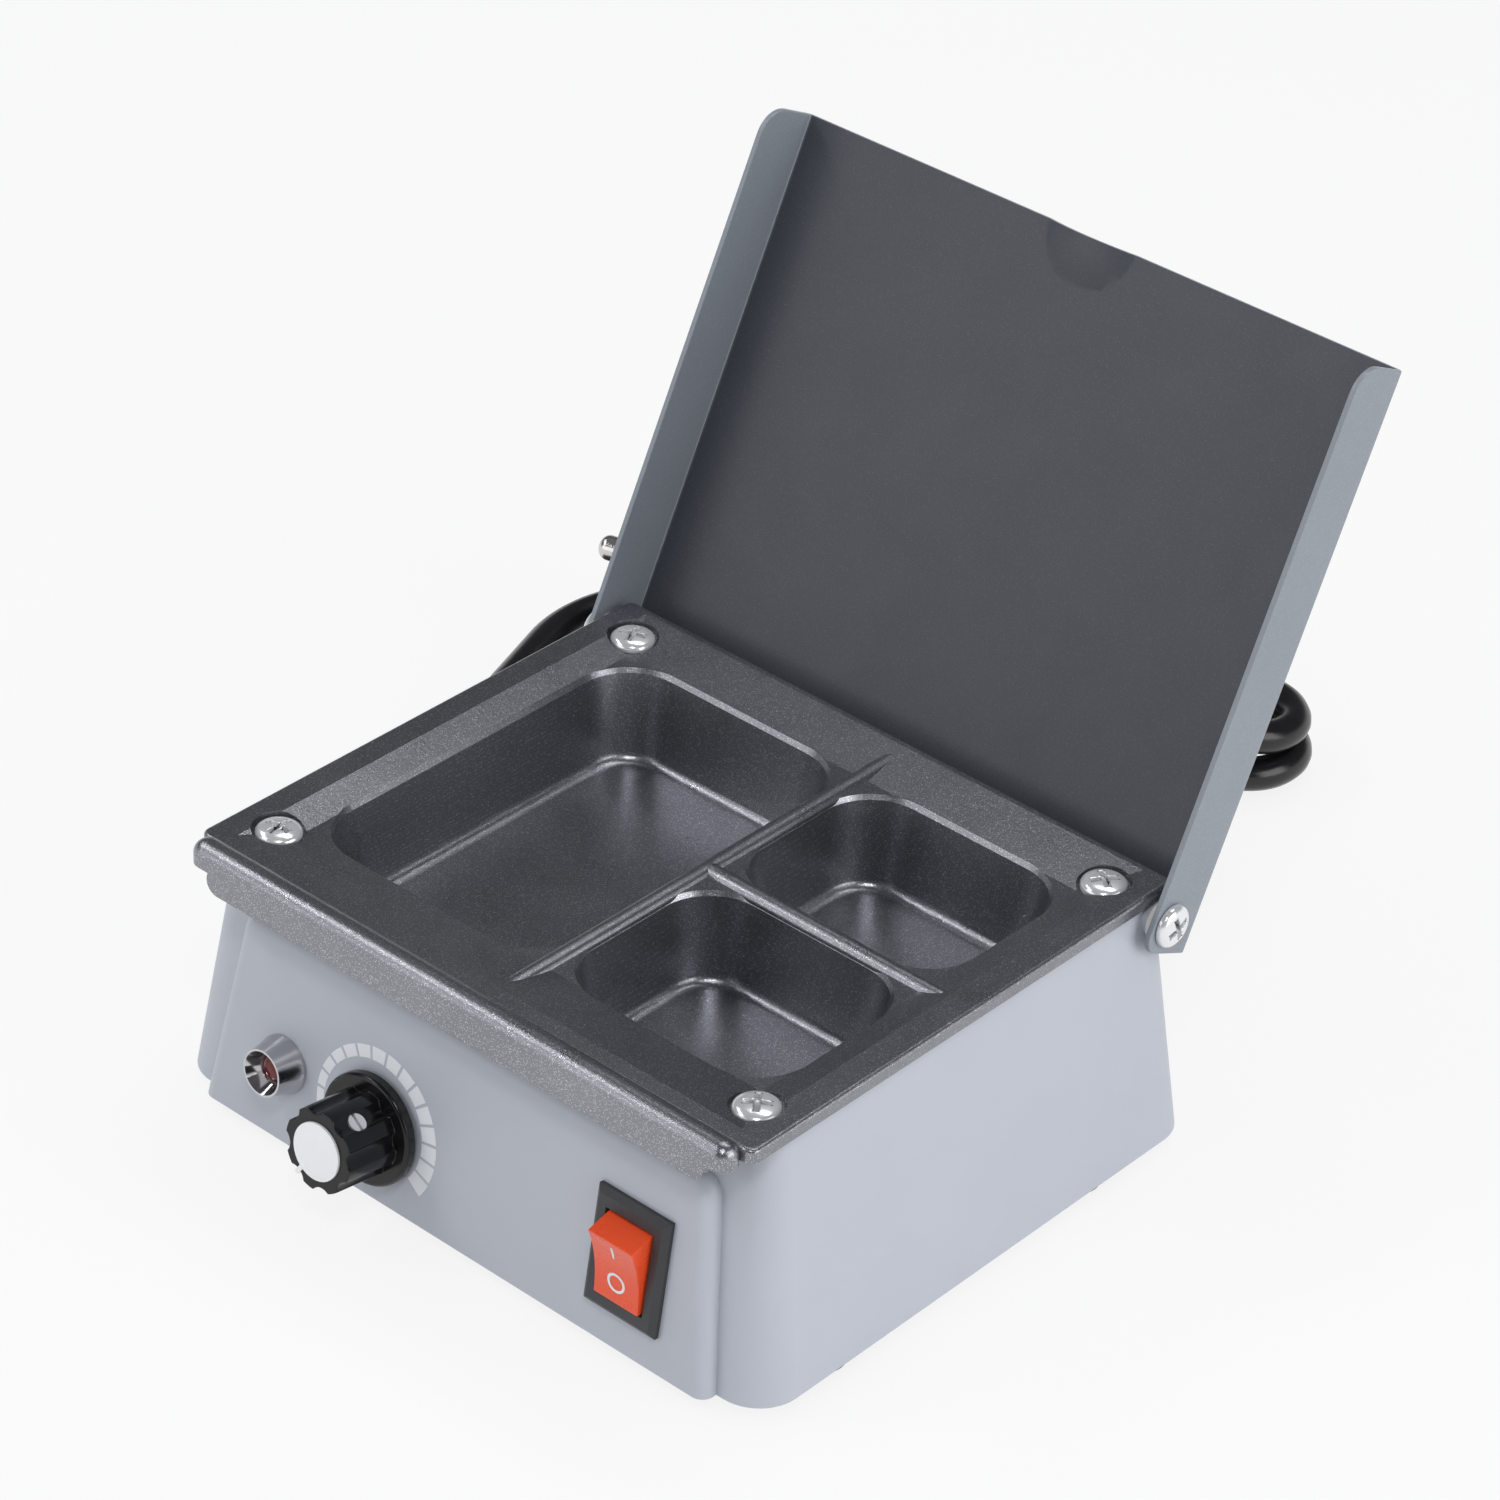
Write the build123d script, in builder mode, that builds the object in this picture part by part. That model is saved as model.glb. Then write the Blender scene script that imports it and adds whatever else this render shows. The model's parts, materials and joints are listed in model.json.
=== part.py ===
from build123d import *
from math import atan, cos, degrees, pi, radians, sin, sqrt, tan
import os

os.makedirs("parts", exist_ok=True)

# Wax heater for a dental laboratory: a sloping housing, a cast tray with three wells,
# a folded lid on two pivot screws, a dial, a pilot lamp and a rocker switch.
# Millimetres. +Z up, the front panel looks toward -Y, the origin lies on the standing plane.

# housing shell
BODY_Z0 = 3.0           # lower edge
BODY_Z1 = 48.5          # deck, the tray lies on it
BASE_HX, BASE_HY = 64.7, 53.55
BODY_YC = 1.15
SLOPE = 0.139           # inward lean of every wall, per millimetre of height
BASE_R, TOP_R = 8.0, 4.3
WALL = 2.5
OPEN_HX, OPEN_HY, OPEN_R = 51.5, 40.5, 10.5
TILT = degrees(atan(SLOPE))
SIN_T, COS_T = sin(atan(SLOPE)), cos(atan(SLOPE))
POST_X, POST_Y, POST_R = 51.4, 41.6, 4.5

# front panel, raised on the housing; s runs up the panel, h stands out of it
PANEL = Plane(origin=(0, -48.746, 50.9), x_dir=(1, 0, 0), z_dir=(0, -COS_T, SIN_T))
PAD_PROUD = 2.975
PAD_TOP_S, PAD_LOW_S = -11.11, -50.5
PAD_TOP_HX, PAD_LOW_HX = 50.4, 55.8
PAD_EDGE_R = 2.4
KNOB_X, KNOB_S = -17.0, -35.2
LAMP_X, LAMP_S = -38.1, -34.3
SWITCH_X, SWITCH_S = 37.6, -31.5

# tray
PLATE_TOP = 50.9
PLATE_HX, PLATE_FRONT, PLATE_BACK = 59.3, -51.5, 49.5
CREASE_HX, CREASE_HY = 54.2, 48.0
RIM_HX, RIM_HY, RIM_Z = 48.8, 37.6, 49.4
FLOOR_HX, FLOOR_HY, FLOOR_Z = 45.5, 34.2, 33.4
CAST_WALL = 2.0
TUB_BOTTOM = 31.2
RIDGE_X, RIDGE_Y = 3.4, 0.3
RIDGE_HALF, RIDGE_FLOOR_HALF, RIDGE_TOP = 1.7, 4.0, 50.5
RIM_R, WELL_FLOOR_R, RIM_FLARE = 10.0, 8.0, 0.8
LIP_Y, LIP_R, LIP_HALF, LIP_TOP, LIP_LOW = -53.3, 2.5, 57.6, 52.1, 48.0
APRON_HX, APRON_LOW, APRON_T = 53.3, 44.2, 3.0

# lid
PIVOT_Y, PIVOT_Z = 45.4, 45.5
OPEN_ANGLE = 64.5
LID_T = 1.0
LID_HX = 62.1
LID_BACK_U, LID_FRONT_U = -5.2, 94.8
LID_OUT_N, FLANGE_N = -8.6, 4.4
SCOOP_HALF, SCOOP_DEEP = 9.0, 2.1

# heater stack below the tray
HEATER_T, INSULATION_T, CLAMP_T = 1.5, 3.0, 1.0
STACK_HX, STACK_HY = 43.0, 32.0
STUD_X, STUD_Y = 30.0, 24.0
PLATE_T = 1.2           # base plate

FOOT_X, FOOT_Y = 57.0, 31.5
GLAND_X, GLAND_Z = 24.0, 12.0

# mains cord, wound into a teardrop hank behind the housing
CORD_R = 3.2
HANK_H, HANK_BAND = 12.0, 12.8
PLUG_Z = 26.0
PIN_GAP, PIN_R, PIN_L = 19.0, 2.4, 19.0


def body_outline(z, inset, corner):
    """Rounded outline of the sloping housing at height z, moved inward by inset."""
    with BuildSketch(Plane.XY.offset(z)) as outline:
        with Locations((0, BODY_YC)):
            lean = SLOPE * (z - BODY_Z0) + inset
            RectangleRounded(2 * (BASE_HX - lean), 2 * (BASE_HY - lean), corner)
    return outline.sketch


def tapered_body(z0, z1, inset, low_corner, top_corner):
    """Solid between two heights inside the sloping outline."""
    with BuildPart() as block:
        add(body_outline(z0, inset, low_corner))
        add(body_outline(z1, inset, top_corner))
        loft(ruled=True)
    return block.part


def cross_cut(size, width, depth):
    """Cross recess of a screw head, standing on z = 0 and reaching down."""
    with BuildPart() as recess:
        with BuildSketch():
            Rectangle(size, width)
            Rectangle(width, size)
        with BuildSketch(Plane.XY.offset(-depth)):
            Rectangle(size * 0.45, width * 0.8)
            Rectangle(width * 0.8, size * 0.45)
        loft(ruled=True)
    return recess.part


def cross_screw(head_r, head_h, shank_r, shank_l):
    """Domed cross-recess screw: head above z = 0, shank below."""
    dome_r = (head_r ** 2 + head_h ** 2) / (2 * head_h)
    with BuildPart() as screw:
        with BuildSketch():
            Circle(head_r)
        extrude(amount=head_h)
        with Locations((0, 0, head_h - dome_r)):
            Sphere(dome_r * 1.04, mode=Mode.INTERSECT)
        with BuildSketch():
            Circle(shank_r)
        extrude(amount=-shank_l)
        with Locations((0, 0, head_h + 0.02)):
            add(cross_cut(head_r * 1.15, head_r * 0.24, head_h * 0.75), mode=Mode.SUBTRACT)
    return screw.part


def hex_nut(across_flats, height, bore_r):
    with BuildPart() as nut:
        with BuildSketch():
            RegularPolygon(across_flats / 2, 6, major_radius=False)
            Circle(bore_r, mode=Mode.SUBTRACT)
        extrude(amount=height)
    return nut.part


def on_panel(x, s, h=0.0):
    """Plane parallel to the front panel, centred on (x, s), h in front of it."""
    return Plane(origin=PANEL.from_local_coords((x, s, h)), x_dir=PANEL.x_dir, z_dir=PANEL.z_dir)


def through_axis(x, s):
    """Plane that holds the panel normal at (x, s): local Y is the normal."""
    return Plane(origin=PANEL.from_local_coords((x, s, 0)), x_dir=(1, 0, 0), z_dir=(0, -SIN_T, -COS_T))


def panel_axis(x, s):
    return Axis(PANEL.from_local_coords((x, s, 0)), PANEL.z_dir)


# ---------------------------------------------------------------- housing
corner_posts = GridLocations(2 * POST_X, 2 * POST_Y, 2, 2)

with BuildPart() as cavity:
    add(tapered_body(BODY_Z0, BODY_Z1 - WALL, WALL / COS_T, BASE_R - WALL, TOP_R - WALL))
    # corner posts take the tray screws from above and the base screws from below
    with BuildSketch(Plane.XY.offset(BODY_Z0 + PLATE_T)):
        with corner_posts:
            Circle(POST_R)
    extrude(amount=BODY_Z1, mode=Mode.SUBTRACT)
    # thick corners behind the lid pivots
    with Locations((54.6, 44.4, 44.2), (-54.6, 44.4, 44.2)):
        Box(9.0, 8.0, 9.0, mode=Mode.SUBTRACT)

with BuildPart() as pad:
    with BuildSketch(PANEL):
        with BuildLine():
            Polyline(
                (-PAD_LOW_HX, PAD_LOW_S),
                (PAD_LOW_HX, PAD_LOW_S),
                (PAD_TOP_HX, PAD_TOP_S),
                (-PAD_TOP_HX, PAD_TOP_S),
                close=True,
            )
        make_face()
    extrude(amount=-(PAD_PROUD + 1.0))
    upright = pad.edges().filter_by(Axis((0, 0, 0), PANEL.z_dir))
    fillet(upright.sort_by(Axis.Z)[-2:], 4.0)
    front_face = pad.faces().sort_by(Axis((0, 0, 0), PANEL.z_dir))[-1]
    low_edge = front_face.edges().sort_by(Axis.Z)[0]
    fillet([edge for edge in front_face.edges() if edge != low_edge], PAD_EDGE_R)
    split(bisect_by=Plane.XY.offset(BODY_Z0), keep=Keep.TOP)

with BuildPart() as housing:
    add(tapered_body(BODY_Z0, BODY_Z1, 0, BASE_R, TOP_R))
    fillet(housing.edges().group_by(Axis.Z)[-1], 1.2)
    add(pad.part)
    add(cavity.part, mode=Mode.SUBTRACT)
    # hollow of the raised panel
    with BuildSketch(PANEL.offset(-WALL)):
        with BuildLine():
            Polyline(
                (-PAD_LOW_HX + WALL, PAD_LOW_S - 3),
                (PAD_LOW_HX - WALL, PAD_LOW_S - 3),
                (PAD_TOP_HX - WALL, PAD_TOP_S - WALL),
                (-PAD_TOP_HX + WALL, PAD_TOP_S - WALL),
                close=True,
            )
        make_face()
    extrude(amount=-3.2, mode=Mode.SUBTRACT)
    # deck opening for the wells
    with BuildSketch(Plane.XY.offset(BODY_Z1 - WALL - 1)):
        RectangleRounded(2 * OPEN_HX, 2 * OPEN_HY, OPEN_R)
    extrude(amount=WALL + 2, mode=Mode.SUBTRACT)
    # screw holes in the posts
    with BuildSketch(Plane.XY.offset(BODY_Z1 - 9)):
        with corner_posts:
            Circle(1.5)
    extrude(amount=10, mode=Mode.SUBTRACT)
    with BuildSketch(Plane.XY.offset(BODY_Z0)):
        with corner_posts:
            Circle(1.55)
    extrude(amount=12, mode=Mode.SUBTRACT)
    # panel holes: dial bush, lamp, switch
    with BuildSketch(PANEL.offset(1)):
        with Locations((KNOB_X, KNOB_S)):
            Circle(3.6)
        with Locations((LAMP_X, LAMP_S)):
            Circle(3.1)
        with Locations((SWITCH_X, SWITCH_S)):
            Rectangle(13.2, 19.2)
    extrude(amount=-(WALL + 3), mode=Mode.SUBTRACT)
    # pivot bosses and their holes
    for side in (-1, 1):
        with BuildSketch(Plane(origin=(side * 59.9, PIVOT_Y, PIVOT_Z), z_dir=(-side, 0, 0))):
            Circle(2.9)
        extrude(amount=6)
        with BuildSketch(Plane(origin=(side * 60.5, PIVOT_Y, PIVOT_Z), z_dir=(-side, 0, 0))):
            Circle(1.98)
        extrude(amount=9, mode=Mode.SUBTRACT)
    # gland hole in the back wall
    gland_y = BODY_YC + BASE_HY - SLOPE * (GLAND_Z - BODY_Z0)
    BACK = Plane(origin=(GLAND_X, gland_y, GLAND_Z), x_dir=(-1, 0, 0), z_dir=(0, COS_T, SIN_T))
    with BuildSketch(BACK.offset(1)):
        Circle(5.5)
    extrude(amount=-(WALL + 3), mode=Mode.SUBTRACT)

# ---------------------------------------------------------------- base plate
with BuildPart() as base_plate:
    with BuildSketch(Plane.XY.offset(BODY_Z0)):
        with Locations((0, BODY_YC)):
            RectangleRounded(2 * (BASE_HX - WALL - 0.35), 2 * (BASE_HY - WALL - 0.35), 5.2)
        with Locations((0, -50.5)):
            Rectangle(103, 4)
        with corner_posts:
            Circle(1.7, mode=Mode.SUBTRACT)
        with GridLocations(2 * FOOT_X, 2 * FOOT_Y, 2, 2):
            Circle(2.05, mode=Mode.SUBTRACT)
        with Locations((0, 36)):
            Circle(2.05, mode=Mode.SUBTRACT)
        with Locations((-26, 2), (26, 2)):
            with GridLocations(0, 7, 1, 6):
                SlotOverall(26, 2.6, mode=Mode.SUBTRACT)
    extrude(amount=PLATE_T)

with BuildPart() as base_screws:
    with corner_posts:
        with Locations(Location((0, 0, BODY_Z0), (180, 0, 0))):
            add(cross_screw(2.9, 1.5, 1.5, 10))

with BuildPart() as rubber_feet:
    with GridLocations(2 * FOOT_X, 2 * FOOT_Y, 2, 2):
        Cone(5.6, 6.0, BODY_Z0, align=(Align.CENTER, Align.CENTER, Align.MIN))
        Cylinder(2.0, 5.0, align=(Align.CENTER, Align.CENTER, Align.MIN))
        with Locations((0, 0, BODY_Z0 + PLATE_T)):
            Cone(2.9, 1.6, 1.8, align=(Align.CENTER, Align.CENTER, Align.MIN))

# ---------------------------------------------------------------- tray
ridge_draft = (RIDGE_FLOOR_HALF - RIDGE_HALF) / (RIM_Z - FLOOR_Z)


def well_cutter(left, right, front, back, floor_left, floor_right, floor_front, floor_back):
    """Tapered well: floor outline, throat outline, flared rim, rounded floor edge."""
    sections = [
        (FLOOR_Z, floor_left, floor_right, floor_front, floor_back, WELL_FLOOR_R),
        (RIM_Z - RIM_FLARE, left, right, front, back, RIM_R),
        (RIM_Z + RIM_FLARE / 2, left - RIM_FLARE, right + RIM_FLARE, front - RIM_FLARE,
         back + RIM_FLARE, RIM_R + RIM_FLARE),
    ]
    with BuildPart() as well:
        for z, x0, x1, y0, y1, corner in sections:
            with BuildSketch(Plane.XY.offset(z)):
                with Locations(((x0 + x1) / 2, (y0 + y1) / 2)):
                    RectangleRounded(x1 - x0, y1 - y0, corner)
        loft(ruled=True)
        fillet(well.edges().group_by(Axis.Z)[0], 2.0)
    return well.part


with BuildPart() as lip:
    with BuildSketch(Plane.XY.offset(LIP_LOW)):
        with Locations((0, LIP_Y)):
            SlotOverall(2 * LIP_HALF, 2 * LIP_R)
    extrude(amount=LIP_TOP - LIP_LOW)
    fillet(lip.faces().sort_by(Axis.Z)[-1].edges(), 2.3)

with BuildPart() as tray:
    # plate and the tub under it
    with BuildSketch(Plane.XY.offset(BODY_Z1)):
        with Locations((0, (PLATE_FRONT + PLATE_BACK) / 2)):
            RectangleRounded(2 * PLATE_HX, PLATE_BACK - PLATE_FRONT, 1.8)
    extrude(amount=PLATE_TOP - BODY_Z1)
    fillet(tray.faces().sort_by(Axis.Z)[-1].edges(), 0.7)
    with BuildSketch(Plane.XY.offset(TUB_BOTTOM)):
        RectangleRounded(2 * (FLOOR_HX + CAST_WALL - 0.45), 2 * (FLOOR_HY + CAST_WALL - 0.45), 9)
    with BuildSketch(Plane.XY.offset(BODY_Z1 + 0.5)):
        RectangleRounded(2 * (RIM_HX + CAST_WALL - 0.2), 2 * (RIM_HY + CAST_WALL - 0.2), 11)
    loft(ruled=True)
    # sunk middle with mitred corners
    with BuildSketch(Plane.XY.offset(RIM_Z)):
        Rectangle(2 * RIM_HX, 2 * RIM_HY)
    with BuildSketch(Plane.XY.offset(PLATE_TOP)):
        Rectangle(2 * CREASE_HX, 2 * CREASE_HY)
    loft(ruled=True, mode=Mode.SUBTRACT)
    # three wells
    mid_l, mid_r = RIDGE_X - RIDGE_HALF, RIDGE_X + RIDGE_HALF
    low_l, low_r = RIDGE_X - RIDGE_FLOOR_HALF, RIDGE_X + RIDGE_FLOOR_HALF
    near, far = RIDGE_Y - RIDGE_HALF, RIDGE_Y + RIDGE_HALF
    low_near, low_far = RIDGE_Y - RIDGE_FLOOR_HALF, RIDGE_Y + RIDGE_FLOOR_HALF
    add(
        well_cutter(-RIM_HX, mid_l, -RIM_HY, RIM_HY, -FLOOR_HX, low_l, -FLOOR_HY, FLOOR_HY),
        mode=Mode.SUBTRACT,
    )
    add(
        well_cutter(mid_r, RIM_HX, -RIM_HY, near, low_r, FLOOR_HX, -FLOOR_HY, low_near),
        mode=Mode.SUBTRACT,
    )
    add(
        well_cutter(mid_r, RIM_HX, far, RIM_HY, low_r, FLOOR_HX, low_far, FLOOR_HY),
        mode=Mode.SUBTRACT,
    )
    # rounded ridges between the wells; their ends run out on the slopes
    with BuildSketch(Plane.XZ.offset(-46.5)):
        with Locations((RIDGE_X, RIDGE_TOP - RIDGE_HALF)):
            Circle(RIDGE_HALF)
        with Locations((RIDGE_X, BODY_Z1 + 0.2)):
            Rectangle(5, 4, align=(Align.CENTER, Align.MAX), mode=Mode.SUBTRACT)
    extrude(amount=92.5)
    with BuildSketch(Plane.YZ.offset(RIDGE_X)):
        with Locations((RIDGE_Y, RIDGE_TOP - RIDGE_HALF)):
            Circle(RIDGE_HALF)
        with Locations((RIDGE_Y, BODY_Z1 + 0.2)):
            Rectangle(5, 4, align=(Align.CENTER, Align.MAX), mode=Mode.SUBTRACT)
    extrude(amount=49.6)
    # screw seats
    with BuildSketch(Plane.XY.offset(49.2)):
        with corner_posts:
            Circle(4.5)
    extrude(amount=3, mode=Mode.SUBTRACT)
    with BuildSketch(Plane.XY.offset(BODY_Z1 - 1)):
        with corner_posts:
            Circle(1.8)
    extrude(amount=3, mode=Mode.SUBTRACT)
    # front lip and apron
    with BuildSketch(Plane.XZ.offset(-LIP_Y - LIP_R)):
        with Locations((0, (APRON_LOW + LIP_LOW + 1) / 2)):
            RectangleRounded(2 * APRON_HX, LIP_LOW + 1 - APRON_LOW, 2.3)
    extrude(amount=APRON_T + 1.8)
    add(lip.part)
    # studs for the heater stack
    with BuildSketch(Plane.XY.offset(TUB_BOTTOM + 0.5)):
        with GridLocations(2 * STUD_X, 2 * STUD_Y, 2, 2):
            Circle(1.5)
    extrude(amount=-9.0)

with BuildPart() as tray_screws:
    with corner_posts:
        with Locations(Location((0, 0, 49.2), (0, 0, 28))):
            add(cross_screw(3.8, 1.9, 1.45, 8.5))

# ---------------------------------------------------------------- lid
LID = Plane(
    origin=(0, PIVOT_Y, PIVOT_Z),
    x_dir=(1, 0, 0),
    z_dir=(0, -sin(radians(OPEN_ANGLE)), cos(radians(OPEN_ANGLE))),
)
along_lid = Axis((0, 0, 0), LID.y_dir)
with BuildPart() as lid:
    # channel profile, drawn across the lid
    with BuildSketch(
        Plane(origin=LID.from_local_coords((0, LID_BACK_U, 0)), x_dir=(1, 0, 0), z_dir=LID.y_dir)
    ):
        with Locations((0, -(LID_OUT_N + FLANGE_N) / 2)):
            Rectangle(2 * LID_HX, FLANGE_N - LID_OUT_N)
        with Locations((0, -(LID_OUT_N + LID_T + FLANGE_N + 1) / 2)):
            Rectangle(2 * (LID_HX - LID_T), FLANGE_N + 1 - LID_OUT_N - LID_T, mode=Mode.SUBTRACT)
    extrude(amount=LID_FRONT_U - LID_BACK_U)
    bends = lid.edges().filter_by(along_lid)
    out_axis = Axis((0, 0, 0), LID.z_dir)
    fillet(bends.group_by(out_axis)[0], 1.5)
    inner_bends = lid.edges().filter_by(along_lid).filter_by(
        lambda edge: abs(LID.to_local_coords(edge.center()).Z - (LID_OUT_N + LID_T)) < 0.01
        and abs(abs(edge.center().X) - (LID_HX - LID_T)) < 0.01
    )
    fillet(inner_bends, 0.5)
    # rounded free corners of the flanges
    corners = lid.edges().filter_by(Axis.X).filter_by(
        lambda edge: abs(LID.to_local_coords(edge.center()).Z - FLANGE_N) < 0.01
    )
    fillet([e for e in corners if LID.to_local_coords(e.center()).Y > 0], 5.0)
    corners = lid.edges().filter_by(Axis.X).filter_by(
        lambda edge: abs(LID.to_local_coords(edge.center()).Z - FLANGE_N) < 0.01
    )
    fillet([e for e in corners if LID.to_local_coords(e.center()).Y < 0], 3.5)
    # pivot holes
    with BuildSketch(Plane(origin=(-LID_HX - 1, PIVOT_Y, PIVOT_Z), z_dir=(1, 0, 0))):
        Circle(2.03)
    extrude(amount=2 * LID_HX + 2, mode=Mode.SUBTRACT)
    # finger scoop pressed into the front edge
    scoop_r = (SCOOP_HALF ** 2 + SCOOP_DEEP ** 2) / (2 * SCOOP_DEEP)
    scoop_c = LID.from_local_coords((0, LID_FRONT_U, LID_OUT_N + SCOOP_DEEP - scoop_r))
    scoop_mid = LID.from_local_coords((0, LID_FRONT_U - 10, LID_OUT_N + 2.75))
    with BuildPart(mode=Mode.PRIVATE) as dimple:
        with Locations(scoop_c):
            Sphere(scoop_r + LID_T)
        with Locations(Plane(origin=scoop_mid, x_dir=LID.x_dir, z_dir=LID.z_dir)):
            Box(30, 20, 4.5, mode=Mode.INTERSECT)
    add(dimple.part)
    with Locations(scoop_c):
        Sphere(scoop_r, mode=Mode.SUBTRACT)

with BuildPart() as pivot_washers:
    for side in (-1, 1):
        with BuildSketch(Plane(origin=(side * 59.95, PIVOT_Y, PIVOT_Z), z_dir=(side, 0, 0))):
            Circle(3.5)
            Circle(2.1, mode=Mode.SUBTRACT)
        extrude(amount=1.1)

with BuildPart() as lid_pivot_screws:
    for side in (-1, 1):
        with Locations(Plane(origin=(side * 62.15, PIVOT_Y, PIVOT_Z), z_dir=(side, 0, 0))):
            add(cross_screw(3.7, 1.8, 1.95, 9.5))

# ---------------------------------------------------------------- heater stack
stud_spots = GridLocations(2 * STUD_X, 2 * STUD_Y, 2, 2)


def stack_sheet(top, thickness, shrink):
    """Sheet of the heater stack with clearance holes on the four studs."""
    with BuildPart() as sheet:
        with BuildSketch(Plane.XY.offset(top - thickness)):
            RectangleRounded(2 * (STACK_HX - shrink), 2 * (STACK_HY - shrink), 6)
            with stud_spots:
                Circle(1.7, mode=Mode.SUBTRACT)
        extrude(amount=thickness)
    return sheet.part


with BuildPart() as heater_plate:
    add(stack_sheet(TUB_BOTTOM, HEATER_T, 0))
with BuildPart() as heater_insulation:
    add(stack_sheet(TUB_BOTTOM - HEATER_T, INSULATION_T, 0))
CLAMP_LOW = TUB_BOTTOM - HEATER_T - INSULATION_T - CLAMP_T
with BuildPart() as heater_clamp_plate:
    add(stack_sheet(CLAMP_LOW + CLAMP_T, CLAMP_T, 2))
with BuildPart() as heater_nuts:
    with stud_spots:
        with Locations((0, 0, CLAMP_LOW - 2.4)):
            add(hex_nut(5.5, 2.4, 1.55))

# safety cut-out pressed to the clamp plate
CUT_X, CUT_Y = -20.0, -2.0
with BuildPart() as thermal_cutout:
    with Locations((CUT_X, CUT_Y, CLAMP_LOW)):
        Cylinder(7.5, 5.0, align=(Align.CENTER, Align.CENTER, Align.MAX))
        Box(22, 6, 0.8, align=(Align.CENTER, Align.CENTER, Align.MAX))
    with Locations((CUT_X - 8.5, CUT_Y, CLAMP_LOW - 4.2), (CUT_X + 8.5, CUT_Y, CLAMP_LOW - 4.2)):
        Box(7, 4.8, 0.8)

# bulb of the thermostat under a saddle clip
BULB_Y, BULB_R = 14.0, 2.5
bulb_z = CLAMP_LOW - 0.4 - BULB_R
with BuildPart() as bulb_clip:
    with BuildSketch(Plane.YZ.offset(5)):
        with Locations((BULB_Y, bulb_z)):
            Circle(BULB_R + 0.8)
        with Locations((BULB_Y, (bulb_z + CLAMP_LOW) / 2)):
            Rectangle(2 * BULB_R + 1.6, CLAMP_LOW - bulb_z)
        with Locations((BULB_Y, CLAMP_LOW - 0.4)):
            Rectangle(15, 0.8)
        with Locations((BULB_Y, bulb_z)):
            Circle(BULB_R, mode=Mode.SUBTRACT)
        with Locations((BULB_Y, (bulb_z + CLAMP_LOW) / 2 + 0.5)):
            Rectangle(2 * BULB_R, CLAMP_LOW - bulb_z + 1, mode=Mode.SUBTRACT)
    extrude(amount=10)

# ---------------------------------------------------------------- thermostat
THERMO_W, THERMO_S, THERMO_D = 28.0, 15.0, 16.0
with BuildPart() as thermostat_body:
    with BuildSketch(on_panel(KNOB_X, KNOB_S, -WALL)):
        RectangleRounded(THERMO_W, THERMO_S, 1.5)
    extrude(amount=-THERMO_D)
    # threaded bush through the panel
    with BuildSketch(on_panel(KNOB_X, KNOB_S, -WALL)):
        Circle(3.5)
    extrude(amount=WALL + 5.5)
    with BuildSketch(on_panel(KNOB_X, KNOB_S, 6)):
        Circle(3.05)
    extrude(amount=-12, mode=Mode.SUBTRACT)
    # two connection tabs at the back
    with BuildSketch(on_panel(KNOB_X, KNOB_S, -WALL - THERMO_D)):
        with GridLocations(14, 0, 2, 1):
            Rectangle(6.3, 0.8)
    extrude(amount=-7)

with BuildPart() as thermostat_shaft:
    with BuildSketch(on_panel(KNOB_X, KNOB_S, -5.9)):
        Circle(3.0)
    extrude(amount=11.9)
    with BuildSketch(on_panel(KNOB_X, KNOB_S, 6)):
        Circle(3.0)
        with Locations(Location((0, 0), 57)):
            with Locations((3.5, 0)):
                Rectangle(2.0, 8, mode=Mode.SUBTRACT)
    extrude(amount=5.0)

with BuildPart() as thermostat_washer:
    with BuildSketch(on_panel(KNOB_X, KNOB_S)):
        Circle(5.5)
        Circle(3.6, mode=Mode.SUBTRACT)
    extrude(amount=0.5)

with BuildPart() as thermostat_nut:
    with Locations(on_panel(KNOB_X, KNOB_S, 0.5)):
        add(hex_nut(10, 2.0, 3.5))

# ---------------------------------------------------------------- knob
FLUTE_PHASE = 12
SCREW_ANGLE = 57
SCREW_H = 8.5
with BuildPart() as knob:
    with BuildSketch(on_panel(KNOB_X, KNOB_S, 0.8)):
        Circle(9.6)
    extrude(amount=2.0)
    fillet(knob.edges().group_by(Axis((0, 0, 0), PANEL.z_dir))[-1], 0.7)
    with BuildSketch(on_panel(KNOB_X, KNOB_S, 2.0)):
        Circle(7.3)
        with PolarLocations(8.6, 8, start_angle=FLUTE_PHASE):
            Circle(2.2, mode=Mode.SUBTRACT)
    extrude(amount=11.0, taper=0.6)
    with BuildSketch(on_panel(KNOB_X, KNOB_S, 0.5)):
        Circle(6.3)
    extrude(amount=2.5, mode=Mode.SUBTRACT)
    with BuildSketch(on_panel(KNOB_X, KNOB_S, 0.5)):
        Circle(4.0)
    extrude(amount=5.5, mode=Mode.SUBTRACT)
    with BuildSketch(on_panel(KNOB_X, KNOB_S, 5.5)):
        Circle(3.0)
        with Locations(Location((0, 0), SCREW_ANGLE)):
            with Locations((3.5, 0)):
                Rectangle(2.0, 8, mode=Mode.SUBTRACT)
    extrude(amount=5.5, mode=Mode.SUBTRACT)
    # threaded hole of the set screw
    screw_dir = PANEL.from_local_coords(
        (cos(radians(SCREW_ANGLE)), sin(radians(SCREW_ANGLE)), 0)
    ) - PANEL.origin
    screw_seat = Plane(
        origin=on_panel(KNOB_X, KNOB_S, SCREW_H).origin + screw_dir * 2.5,
        x_dir=PANEL.z_dir,
        z_dir=screw_dir,
    )
    with BuildSketch(screw_seat):
        Circle(1.6)
    extrude(amount=6, mode=Mode.SUBTRACT)

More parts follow.
